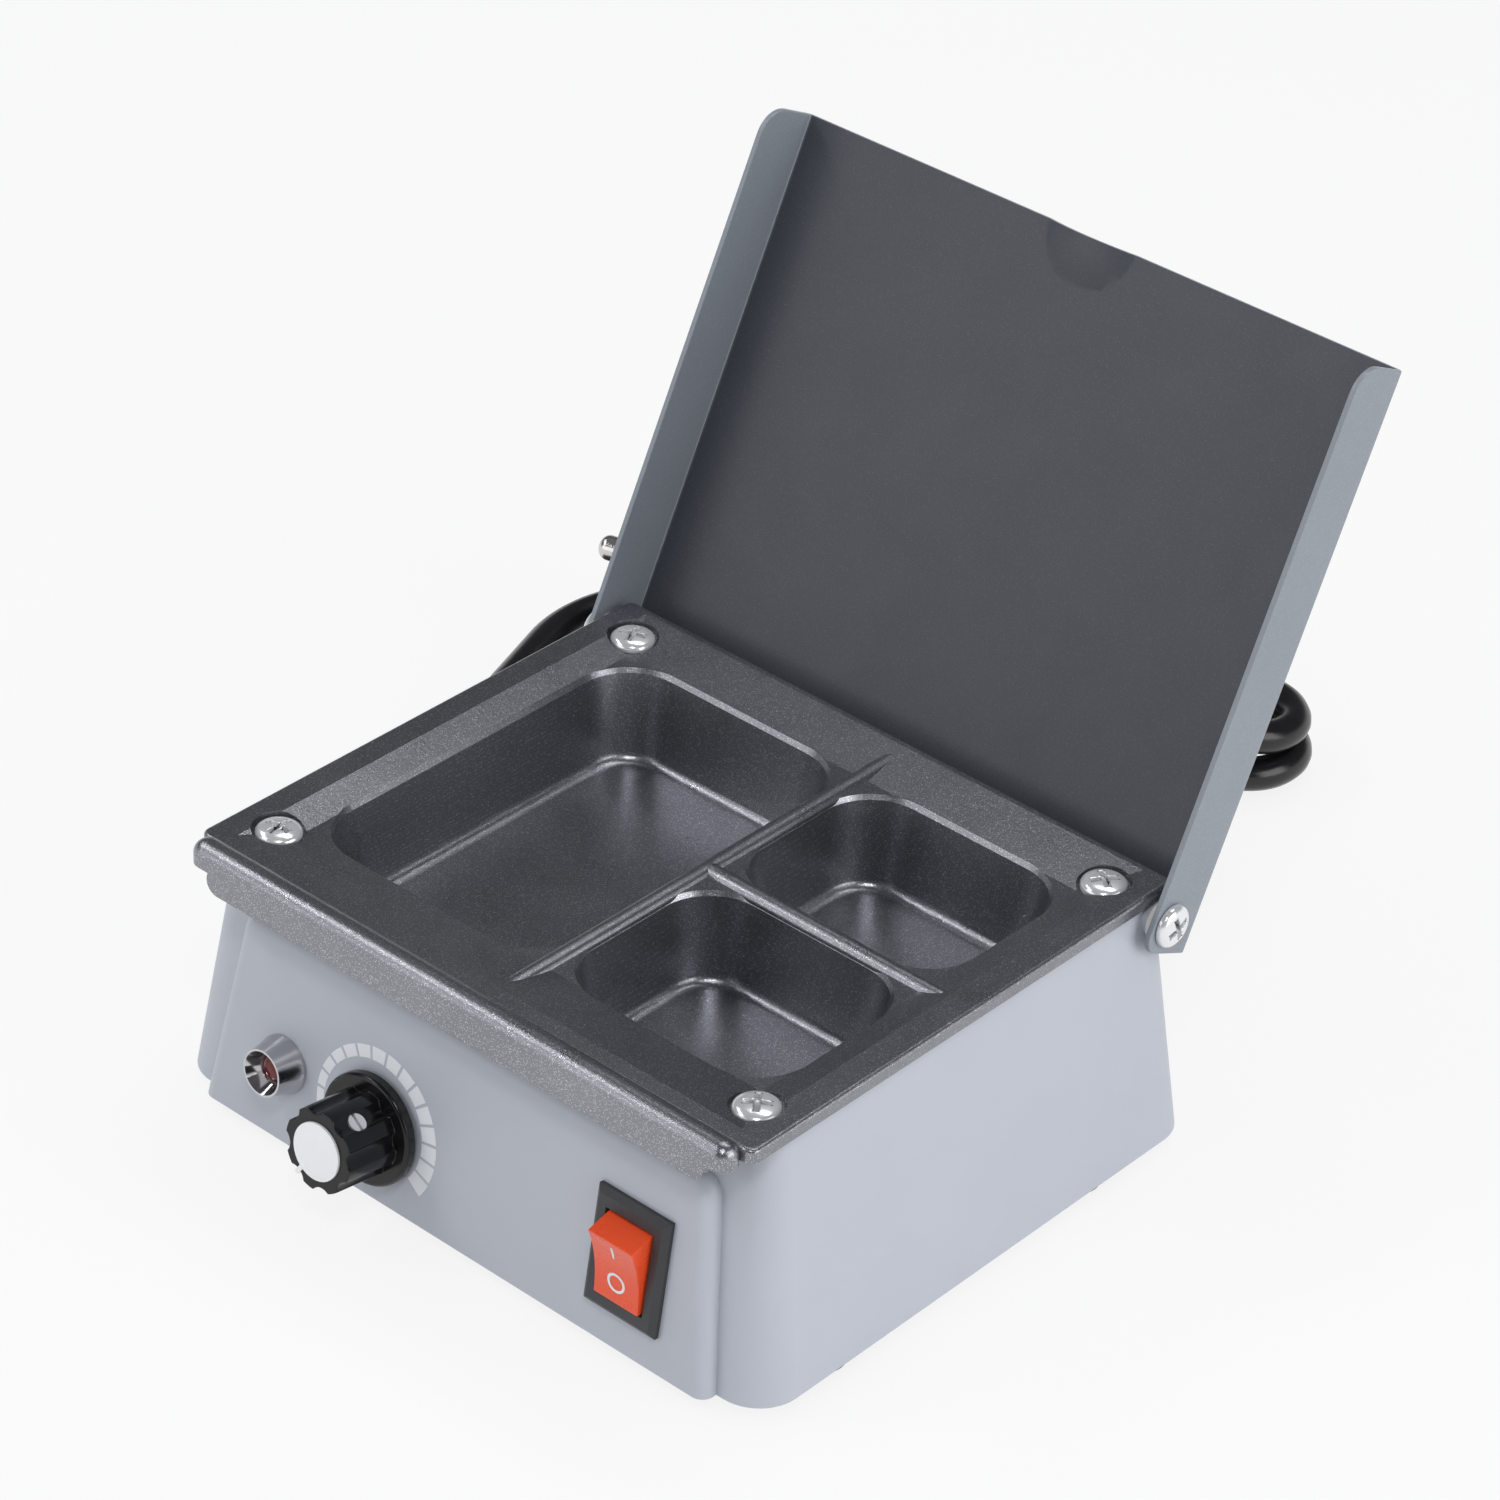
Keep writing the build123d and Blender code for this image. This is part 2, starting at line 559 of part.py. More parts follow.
with BuildPart() as knob_set_screw:
    with BuildSketch(screw_seat):
        Circle(1.6)
    extrude(amount=4.1)
    with BuildSketch(screw_seat.offset(4.2)):
        Rectangle(0.55, 3.6)
    extrude(amount=-1.0, mode=Mode.SUBTRACT)

with BuildPart() as knob_cap:
    with BuildSketch(on_panel(KNOB_X, KNOB_S, 13.0)):
        Circle(4.95)
        with Locations(Location((0, 0), -123.5)):
            with Locations((5.4, 0)):
                Rectangle(2.6, 0.8)
    extrude(amount=0.4)

# ---------------------------------------------------------------- pilot lamp
with BuildPart() as lamp_bezel:
    with BuildSketch(through_axis(LAMP_X, LAMP_S)):
        with BuildLine():
            Polyline((2.3, -9.5), (3.0, -9.5), (3.0, 0.0), (5.1, 0.0), (5.1, 0.6))
            Spline((5.1, 0.6), (4.6, 2.4), (4.1, 5.1))
            Polyline((4.1, 5.1), (3.75, 5.1), (2.3, 2.2), (2.3, -9.5))
        make_face()
    revolve(axis=panel_axis(LAMP_X, LAMP_S))

with BuildPart() as lamp_lens:
    with BuildSketch(through_axis(LAMP_X, LAMP_S)):
        with BuildLine():
            Polyline((0, -2.5), (2.25, -2.5), (2.25, 2.2))
            Spline((2.25, 2.2), (1.5, 2.9), (0, 3.2))
            Line((0, 3.2), (0, -2.5))
        make_face()
    revolve(axis=panel_axis(LAMP_X, LAMP_S))

with BuildPart() as lamp_body:
    with BuildSketch(on_panel(LAMP_X, LAMP_S, -2.6)):
        Circle(2.25)
    extrude(amount=-9.5)
    with BuildSketch(on_panel(LAMP_X, LAMP_S, -12.1)):
        with GridLocations(2.2, 0, 2, 1):
            Rectangle(0.8, 1.2)
    extrude(amount=-4)

with BuildPart() as lamp_nut:
    with Locations(on_panel(LAMP_X, LAMP_S, -WALL - 2.2)):
        add(hex_nut(8.5, 2.2, 3.0))

# ---------------------------------------------------------------- rocker switch
with BuildPart() as switch_frame:
    with BuildSketch(on_panel(SWITCH_X, SWITCH_S)):
        Rectangle(15.0, 21.0)
    extrude(amount=2.0)
    chamfer(switch_frame.edges().filter_by(Axis((0, 0, 0), PANEL.z_dir)), 0.9)
    chamfer(switch_frame.edges().group_by(Axis((0, 0, 0), PANEL.z_dir))[-1], 0.7)
    with BuildSketch(on_panel(SWITCH_X, SWITCH_S)):
        Rectangle(13.0, 19.0)
    extrude(amount=-16.0)
    with BuildSketch(on_panel(SWITCH_X, SWITCH_S, 3)):
        Rectangle(9.6, 15.4)
    extrude(amount=-11.0, mode=Mode.SUBTRACT)

ROCKER_AXIS_H = -1.0
across = Plane(
    origin=PANEL.from_local_coords((SWITCH_X - 4.6, SWITCH_S, 0)),
    x_dir=PANEL.y_dir,
    z_dir=(1, 0, 0),
)
# local X runs up the panel; local Y points into the housing
with BuildPart() as switch_rocker:
    with BuildSketch(across):
        with BuildLine():
            Polyline((5.25, 5.8), (7.15, 1.0), (5.6, -3.6), (-5.2, -4.2), (-7.0, 0.4), (-7.25, 2.3))
            ThreePointArc((-7.25, 2.3), (-1.3, 3.15), (5.25, 5.8))
        make_face()
    extrude(amount=9.2)

with BuildPart() as switch_terminals:
    with BuildSketch(on_panel(SWITCH_X, SWITCH_S, -16.0)):
        with GridLocations(0, 9.0, 1, 2):
            Rectangle(6.3, 0.8)
    extrude(amount=-7.5)

# ---------------------------------------------------------------- cord, gland, plug
def rule_radii(points):
    """Corner radii of a route: the widest that leaves a tenth of the shorter run straight."""
    corners = [Vector(*point) for point in points]
    radii = []
    for before, at, after in zip(corners, corners[1:], corners[2:]):
        one, two = at - before, after - at
        half_turn = radians(one.get_angle(two)) / 2
        radii.append(round(0.45 * min(one.length, two.length) / tan(half_turn), 2))
    return radii


def tube(points, radius, name):
    """Round tube along a route of straight runs joined by tangent arcs."""
    radii = rule_radii(points)
    with BuildPart() as pipe:
        with BuildLine() as route:
            FilletPolyline(*points, radius=radii)
        path = route.wire()
        with BuildSketch(Plane(origin=path @ 0, z_dir=path % 0)):
            Circle(radius)
        sweep(path=path)
    length = path.length
    print(f"{name}: radii {radii}, length {length:.1f},",
          f"volume over section times length {pipe.part.volume / (pi * radius ** 2 * length):.4f}")
    return pipe.part


with BuildPart() as cord_gland:
    with BuildSketch(BACK):
        Circle(7.0)
    extrude(amount=2.0)
    fillet(cord_gland.edges().group_by(Axis((0, 0, 0), BACK.z_dir))[-1], 0.8)
    with BuildSketch(BACK):
        Circle(5.4)
    extrude(amount=-(WALL + 0.1))
    with BuildSketch(BACK.offset(-WALL - 0.1)):
        Circle(6.4)
    extrude(amount=-2.5)
    with BuildSketch(BACK.offset(2.0)):
        Circle(5.2)
    with BuildSketch(BACK.offset(22.0)):
        Circle(4.1)
    loft()

# outline of the hank, drawn around its outer turns
hank_outline = [
    (-95.0, 26.0),
    (-115.5, 86.0),
    (-109.5, 107.0),
    (14.5, 172.6),
    (14.5, 142.9),
    (-70.0, 72.7),
]
hank_radii = [15.0, 30.0, 25.0, 13.7, 14.0, 40.0]
with BuildPart() as hank_block:
    with BuildSketch():
        with BuildLine():
            FilletPolyline(*hank_outline, radius=hank_radii, close=True)
        make_face()
    extrude(amount=HANK_H)

TIE_W, TIE_T = 4.0, 0.9
tie_plane = Plane(origin=(-27, 130, 0), x_dir=(-0.556, 0.831, 0), z_dir=(0.831, 0.556, 0))
with BuildPart() as cord_tie:
    with BuildSketch():
        with BuildLine():
            FilletPolyline(*hank_outline, radius=hank_radii, close=True)
        make_face()
        offset(amount=TIE_T / 2)
    extrude(amount=HANK_H + TIE_T / 2)
    with BuildSketch(Plane.XY.offset(TIE_T)):
        with BuildLine():
            FilletPolyline(*hank_outline, radius=hank_radii, close=True)
        make_face()
        offset(amount=-TIE_T / 2)
    extrude(amount=HANK_H - 1.5 * TIE_T, mode=Mode.SUBTRACT)
    with Locations(tie_plane):
        Box(80, 60, TIE_W, mode=Mode.INTERSECT)

with BuildPart() as cord_hank:
    with BuildSketch():
        with BuildLine():
            FilletPolyline(*hank_outline, radius=hank_radii, close=True)
        make_face()
        offset(amount=-HANK_BAND, mode=Mode.SUBTRACT)
    extrude(amount=HANK_H)
    fillet(cord_hank.edges().group_by(Axis.Z)[-1] + cord_hank.edges().group_by(Axis.Z)[0], 2.8)
    add(cord_tie.part, mode=Mode.SUBTRACT)

GLAND_END = 22.0
cord_start = BACK.from_local_coords((0, 0, GLAND_END))
cord_rise = BACK.from_local_coords((0, 0, GLAND_END + 22.0))
supply_route = [tuple(cord_start), tuple(cord_rise), (12, 120, CORD_R + 0.1), (-4, 137, CORD_R + 0.1)]

# the plug lies on the hank, its pins away from the cord
PLUG_TURN = 15.0
plug_dir = Vector(cos(radians(PLUG_TURN)), sin(radians(PLUG_TURN)), 0)
pin_tips = Vector(-105.5, 98.7, PLUG_Z)
PLUG = Plane(origin=pin_tips + plug_dir * PIN_L, x_dir=(-plug_dir.Y, plug_dir.X, 0), z_dir=plug_dir)
PLUG_L, PLUG_NECK = 24.0, 18.0
with BuildPart() as plug_body:
    with BuildSketch(PLUG):
        Circle(18.5)
        Rectangle(40, 28, mode=Mode.INTERSECT)
    extrude(amount=PLUG_L)
    fillet(plug_body.edges().group_by(Axis((0, 0, 0), PLUG.z_dir))[-1], 5.0)
    with BuildSketch(PLUG.offset(PLUG_L - 1)):
        Circle(7.0)
    with BuildSketch(PLUG.offset(PLUG_L + PLUG_NECK)):
        Circle(4.2)
    loft()

with BuildPart() as plug_pins:
    with BuildSketch(PLUG):
        with GridLocations(PIN_GAP, 0, 2, 1):
            Circle(PIN_R)
    extrude(amount=-PIN_L)
    fillet(plug_pins.edges().group_by(Axis((0, 0, 0), PLUG.z_dir))[0], 1.8)

tail_start = PLUG.from_local_coords((0, 0, PLUG_L + PLUG_NECK))
tail_turn = PLUG.from_local_coords((0, 0, PLUG_L + PLUG_NECK + 26.0))
plug_route = [tuple(tail_start), tuple(tail_turn), (2, 140, 9)]

with BuildPart() as power_cord:
    add(tube(supply_route, CORD_R, "power_cord"))
    add(cord_hank.part, mode=Mode.SUBTRACT)
with BuildPart() as plug_cord:
    add(tube(plug_route, CORD_R, "plug_cord"))
    add(cord_hank.part, mode=Mode.SUBTRACT)

# ---------------------------------------------------------------- inner wiring
PLATE_Z = BODY_Z0 + PLATE_T
BLOCK_Y, BLOCK_DEEP, BLOCK_H = 30.0, 14.0, 11.0
core_spots = [GLAND_X - 7, GLAND_X, GLAND_X + 7]
CORE_Z = PLATE_Z + 5.5
with BuildPart() as terminal_block:
    with Locations((GLAND_X, BLOCK_Y, PLATE_Z)):
        Box(26, BLOCK_DEEP, BLOCK_H, align=(Align.CENTER, Align.CENTER, Align.MIN))
    with Locations(*[(x, BLOCK_Y, PLATE_Z + BLOCK_H) for x in core_spots]):
        CounterBoreHole(0.9, 2.0, 2.0, 6.0)

WIRE_R = 0.9
END_GAP = 0.6
GLAND_IN_Y = BACK.from_local_coords((0, 0, -WALL - 2.6)).Y - END_GAP
block_front = BLOCK_Y - BLOCK_DEEP / 2 - END_GAP
block_back = BLOCK_Y + BLOCK_DEEP / 2 + END_GAP
lower_tab = on_panel(SWITCH_X, SWITCH_S - 4.5, -23.5 - END_GAP).origin
dial_tabs = [on_panel(KNOB_X + dx, KNOB_S, -WALL - THERMO_D - 7 - END_GAP).origin for dx in (-7, 7)]
with BuildPart() as inner_wires:
    for x, start in zip(core_spots, (GLAND_X - 2.4, GLAND_X, GLAND_X + 2.4)):
        add(tube([(start, GLAND_IN_Y, 11.2), (x, 42.0, 10.4), (x, block_back, CORE_Z)], WIRE_R, "core"))
    add(tube([(core_spots[0], block_front, CORE_Z), (core_spots[0], -6, 9.0),
              (dial_tabs[1].X, -14, 10.5), tuple(dial_tabs[1])], WIRE_R, "wire to dial"))
    add(tube([(core_spots[1], block_front, CORE_Z), (core_spots[1], -4, 8.0),
              (SWITCH_X, -14, 10.0), tuple(lower_tab)], WIRE_R, "wire to switch"))
    add(tube([(core_spots[2], block_front, CORE_Z), (core_spots[2], 8, 10.5),
              (48.5, 2, 17.0), (48.5, 0, 30.25), (STACK_HX + 0.05, 0, 30.25)], WIRE_R, "heater lead"))
    add(tube([tuple(dial_tabs[0]), (dial_tabs[0].X - 2, -18, 13.5),
              (CUT_X - 9, CUT_Y - 2.4 - END_GAP, CLAMP_LOW - 4.2)], WIRE_R, "wire to cut-out"))

BULB_LEFT, BULB_RIGHT = -24.0, 26.0
capillary_end = on_panel(KNOB_X - 11, KNOB_S - 4.5, -WALL - THERMO_D - END_GAP).origin
with BuildPart() as sensing_bulb:
    with BuildSketch(Plane.YZ.offset(BULB_LEFT)):
        with Locations((BULB_Y, bulb_z)):
            Circle(BULB_R)
    extrude(amount=BULB_RIGHT - BULB_LEFT)
    fillet(sensing_bulb.edges().filter_by(GeomType.CIRCLE), 1.2)
    add(tube([(BULB_LEFT + 0.5, BULB_Y, bulb_z), (-37, BULB_Y, 20), (-40, -4, 13),
              (capillary_end.X, -24, 8.5), tuple(capillary_end)], 0.8, "capillary"))

with BuildPart() as earth_screw:
    with Locations(Location((0, 36, BODY_Z0), (180, 0, 0))):
        add(cross_screw(3.5, 1.8, 2.0, 9))
with BuildPart() as earth_ring:
    with BuildSketch(Plane.XY.offset(PLATE_Z)):
        with Locations((0, 36)):
            Circle(4.0)
        with Locations((-6, 36)):
            Rectangle(10, 3.4)
        with Locations((0, 36)):
            Circle(2.1, mode=Mode.SUBTRACT)
    extrude(amount=0.8)
with BuildPart() as earth_nut:
    with Locations((0, 36, PLATE_Z + 0.8)):
        add(hex_nut(7.0, 3.2, 2.05))

pieces = {
    "cord_gland": cord_gland,
    "power_cord": power_cord,
    "cord_hank": cord_hank,
    "cord_tie": cord_tie,
    "plug_cord": plug_cord,
    "plug_body": plug_body,
    "plug_pins": plug_pins,
    "terminal_block": terminal_block,
    "inner_wires": inner_wires,
    "sensing_bulb": sensing_bulb,
    "earth_screw": earth_screw,
    "earth_ring": earth_ring,
    "earth_nut": earth_nut,
    "housing": housing,
    "base_plate": base_plate,
    "base_screws": base_screws,
    "rubber_feet": rubber_feet,
    "tray": tray,
    "tray_screws": tray_screws,
    "lid": lid,
    "pivot_washers": pivot_washers,
    "lid_pivot_screws": lid_pivot_screws,
    "heater_plate": heater_plate,
    "heater_insulation": heater_insulation,
    "heater_clamp_plate": heater_clamp_plate,
    "heater_nuts": heater_nuts,
    "thermal_cutout": thermal_cutout,
    "bulb_clip": bulb_clip,
    "thermostat_body": thermostat_body,
    "thermostat_shaft": thermostat_shaft,
    "thermostat_washer": thermostat_washer,
    "thermostat_nut": thermostat_nut,
    "knob": knob,
    "knob_set_screw": knob_set_screw,
    "knob_cap": knob_cap,
    "lamp_bezel": lamp_bezel,
    "lamp_lens": lamp_lens,
    "lamp_body": lamp_body,
    "lamp_nut": lamp_nut,
    "switch_frame": switch_frame,
    "switch_rocker": switch_rocker,
    "switch_terminals": switch_terminals,
}
for name, piece in pieces.items():
    piece.part.label = name
    export_step(piece.part, f"parts/{name}.step")
    box = piece.part.bounding_box()
    print(f"{name:20s} solids {len(piece.part.solids())} volume {piece.part.volume:9.1f}",
          f"x {box.min.X:7.2f} {box.max.X:7.2f}  y {box.min.Y:7.2f} {box.max.Y:7.2f}",
          f" z {box.min.Z:6.2f} {box.max.Z:6.2f}")
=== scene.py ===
"""Three-well wax heater: finishes, mains cord, printed marks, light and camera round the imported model."""

import json
from math import cos, radians, sin

import bpy
from mathutils import Matrix, Vector

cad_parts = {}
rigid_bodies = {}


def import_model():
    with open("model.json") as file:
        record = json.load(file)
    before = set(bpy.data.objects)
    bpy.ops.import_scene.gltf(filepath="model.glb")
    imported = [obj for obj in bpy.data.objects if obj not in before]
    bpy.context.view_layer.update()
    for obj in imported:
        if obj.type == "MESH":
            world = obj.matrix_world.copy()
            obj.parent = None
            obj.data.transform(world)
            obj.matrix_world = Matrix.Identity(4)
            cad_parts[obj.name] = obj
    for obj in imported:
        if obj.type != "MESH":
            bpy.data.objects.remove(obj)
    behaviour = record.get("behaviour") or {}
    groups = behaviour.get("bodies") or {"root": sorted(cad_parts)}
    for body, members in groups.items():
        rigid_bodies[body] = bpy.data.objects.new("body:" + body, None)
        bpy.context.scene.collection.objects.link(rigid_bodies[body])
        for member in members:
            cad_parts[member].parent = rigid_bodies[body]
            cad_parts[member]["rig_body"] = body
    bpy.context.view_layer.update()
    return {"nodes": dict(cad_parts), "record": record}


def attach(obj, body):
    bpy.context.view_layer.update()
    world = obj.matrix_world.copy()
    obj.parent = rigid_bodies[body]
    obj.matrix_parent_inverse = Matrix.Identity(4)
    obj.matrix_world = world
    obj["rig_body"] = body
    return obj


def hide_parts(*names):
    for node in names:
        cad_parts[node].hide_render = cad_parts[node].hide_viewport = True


MM = 0.001

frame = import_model()
NODES = frame["nodes"]

# ------------------------------------------------------------------ frame of the front panel
# s runs up the sloping panel, h stands out of it
PANEL_TILT = radians(7.913)
PANEL_ORIGIN = Vector((0, -48.746, 50.9))
PANEL_UP = Vector((0, sin(PANEL_TILT), cos(PANEL_TILT)))
PANEL_OUT = Vector((0, -cos(PANEL_TILT), sin(PANEL_TILT)))
SWITCH_X, SWITCH_S = 37.6, -31.5


def on_panel(x, s, h):
    """Point in metres, from millimetres across, up and out of the front panel."""
    return (PANEL_ORIGIN + Vector((x, 0, 0)) + s * PANEL_UP + h * PANEL_OUT) * MM


# ------------------------------------------------------------------ shader groups
def new_group(name, inputs, outputs):
    """Empty shader group with named sockets, and its two end nodes."""
    tree = bpy.data.node_groups.new(name, "ShaderNodeTree")
    for label, kind, value in inputs:
        socket = tree.interface.new_socket(label, in_out="INPUT", socket_type=kind)
        socket.default_value = value
    for label, kind in outputs:
        tree.interface.new_socket(label, in_out="OUTPUT", socket_type=kind)
    return tree, tree.nodes.new("NodeGroupInput"), tree.nodes.new("NodeGroupOutput")


def place(tree, kind, **settings):
    """New node with its settings; a setting named as an input sets that input."""
    node = tree.nodes.new(kind)
    for key, value in settings.items():
        if hasattr(node, key):
            setattr(node, key, value)
        else:
            node.inputs[key.replace("_", " ")].default_value = value
    return node


COLOUR, NUMBER = "NodeSocketColor", "NodeSocketFloat"


def mottle_group():
    """Two shades of one colour, drifting into each other over the surface."""
    tree, into, out = new_group(
        "mottle",
        [("Colour", COLOUR, (0.5, 0.5, 0.5, 1)), ("Shade", COLOUR, (0.4, 0.4, 0.4, 1)),
         ("Scale", NUMBER, 60.0)],
        [("Colour", COLOUR)],
    )
    link = tree.links.new
    spot = place(tree, "ShaderNodeTexCoord")
    noise = place(tree, "ShaderNodeTexNoise", Detail=4.0, Roughness=0.55)
    spread = place(tree, "ShaderNodeMapRange", From_Min=0.3, From_Max=0.7)
    mix = place(tree, "ShaderNodeMix", data_type="RGBA")
    link(spot.outputs["Object"], noise.inputs["Vector"])
    link(into.outputs["Scale"], noise.inputs["Scale"])
    link(noise.outputs["Fac"], spread.inputs["Value"])
    link(spread.outputs["Result"], mix.inputs["Factor"])
    link(into.outputs["Colour"], mix.inputs["A"])
    link(into.outputs["Shade"], mix.inputs["B"])
    link(mix.outputs["Result"], out.inputs["Colour"])
    return tree


def gloss_group():
    """Roughness that wanders between two values, with finer streaks of handling."""
    tree, into, out = new_group(
        "worn_gloss",
        [("Least", NUMBER, 0.3), ("Most", NUMBER, 0.45), ("Scale", NUMBER, 90.0)],
        [("Roughness", NUMBER)],
    )
    link = tree.links.new
    spot = place(tree, "ShaderNodeTexCoord")
    noise = place(tree, "ShaderNodeTexNoise", Detail=6.0, Roughness=0.65, Distortion=0.4)
    spread = place(tree, "ShaderNodeMapRange", From_Min=0.28, From_Max=0.72)
    link(spot.outputs["Object"], noise.inputs["Vector"])
    link(into.outputs["Scale"], noise.inputs["Scale"])
    link(noise.outputs["Fac"], spread.inputs["Value"])
    link(into.outputs["Least"], spread.inputs["To Min"])
    link(into.outputs["Most"], spread.inputs["To Max"])
    link(spread.outputs["Result"], out.inputs["Roughness"])
    return tree


def grain_group():
    """Fine relief: the orange peel of paint, the grain of moulded plastic or cast metal."""
    tree, into, out = new_group(
        "fine_grain",
        [("Scale", NUMBER, 900.0), ("Depth", NUMBER, 1.0)],
        [("Height", NUMBER)],
    )
    link = tree.links.new
    spot = place(tree, "ShaderNodeTexCoord")
    coarse = place(tree, "ShaderNodeTexNoise", Detail=2.0)
    double = place(tree, "ShaderNodeMath", operation="MULTIPLY")
    double.inputs[1].default_value = 3.1
    fine = place(tree, "ShaderNodeTexNoise", Detail=3.0)
    both = place(tree, "ShaderNodeMath", operation="ADD")
    depth = place(tree, "ShaderNodeMath", operation="MULTIPLY")
    link(spot.outputs["Object"], coarse.inputs["Vector"])
    link(spot.outputs["Object"], fine.inputs["Vector"])
    link(into.outputs["Scale"], coarse.inputs["Scale"])
    link(into.outputs["Scale"], double.inputs[0])
    link(double.outputs["Value"], fine.inputs["Scale"])
    link(coarse.outputs["Fac"], both.inputs[0])
    link(fine.outputs["Fac"], both.inputs[1])
    link(both.outputs["Value"], depth.inputs[0])
    link(into.outputs["Depth"], depth.inputs[1])
    link(depth.outputs["Value"], out.inputs["Height"])
    return tree


def flake_group():
    """Bright specks scattered through a coating: colour, and a mask of where they lie."""
    tree, into, out = new_group(
        "metal_flake",
        [("Colour", COLOUR, (0.1, 0.1, 0.1, 1)), ("Flake", COLOUR, (0.6, 0.6, 0.62, 1)),
         ("Scale", NUMBER, 2500.0), ("Share", NUMBER, 0.12)],
        [("Colour", COLOUR), ("Mask", NUMBER)],
    )
    link = tree.links.new
    spot = place(tree, "ShaderNodeTexCoord")
    cells = place(tree, "ShaderNodeTexVoronoi")
    tone = place(tree, "ShaderNodeSeparateColor")
    share = place(tree, "ShaderNodeMath", operation="LESS_THAN")
    near = place(tree, "ShaderNodeMath", operation="LESS_THAN")
    near.inputs[1].default_value = 0.42
    mask = place(tree, "ShaderNodeMath", operation="MULTIPLY")
    mix = place(tree, "ShaderNodeMix", data_type="RGBA")
    link(spot.outputs["Object"], cells.inputs["Vector"])
    link(into.outputs["Scale"], cells.inputs["Scale"])
    link(cells.outputs["Color"], tone.inputs["Color"])
    link(tone.outputs["Red"], share.inputs[0])
    link(into.outputs["Share"], share.inputs[1])
    link(cells.outputs["Distance"], near.inputs[0])
    link(share.outputs["Value"], mask.inputs[0])
    link(near.outputs["Value"], mask.inputs[1])
    link(mask.outputs["Value"], mix.inputs["Factor"])
    link(into.outputs["Colour"], mix.inputs["A"])
    link(into.outputs["Flake"], mix.inputs["B"])
    link(mix.outputs["Result"], out.inputs["Colour"])
    link(mask.outputs["Value"], out.inputs["Mask"])
    return tree


MOTTLE, GLOSS, GRAIN, FLAKE = mottle_group(), gloss_group(), grain_group(), flake_group()


def use(tree, group, **values):
    """A group placed in a material, with its own values."""
    node = tree.nodes.new("ShaderNodeGroup")
    node.node_tree = group
    for label, value in values.items():
        node.inputs[label].default_value = value
    return node


def finish_of(name, colour, shade, gloss=(0.3, 0.45), mottle_scale=60.0, gloss_scale=90.0,
              grain_scale=900.0, grain_depth=0.3, flake=None, **sockets):
    """Material: mottled colour, wandering gloss and fine relief; flake is (colour, scale, share)."""
    material = bpy.data.materials.new(name)
    material.use_nodes = True
    tree = material.node_tree
    link = tree.links.new
    shader = tree.nodes["Principled BSDF"]
    for label, value in sockets.items():
        shader.inputs[label.replace("_", " ")].default_value = value
    mottle = use(tree, MOTTLE, Colour=(*colour, 1), Shade=(*shade, 1), Scale=mottle_scale)
    paint = mottle.outputs["Colour"]
    if flake:
        specks = use(tree, FLAKE, Flake=(*flake[0], 1), Scale=flake[1], Share=flake[2])
        link(paint, specks.inputs["Colour"])
        paint = specks.outputs["Colour"]
    link(paint, shader.inputs["Base Color"])
    worn = use(tree, GLOSS, Least=gloss[0], Most=gloss[1], Scale=gloss_scale)
    link(worn.outputs["Roughness"], shader.inputs["Roughness"])
    grain = use(tree, GRAIN, Scale=grain_scale, Depth=grain_depth)
    bump = place(tree, "ShaderNodeBump", Strength=0.4, Distance=0.0001)
    link(grain.outputs["Height"], bump.inputs["Height"])
    link(bump.outputs["Normal"], shader.inputs["Normal"])
    material.diffuse_color = (*colour, 1)
    return material


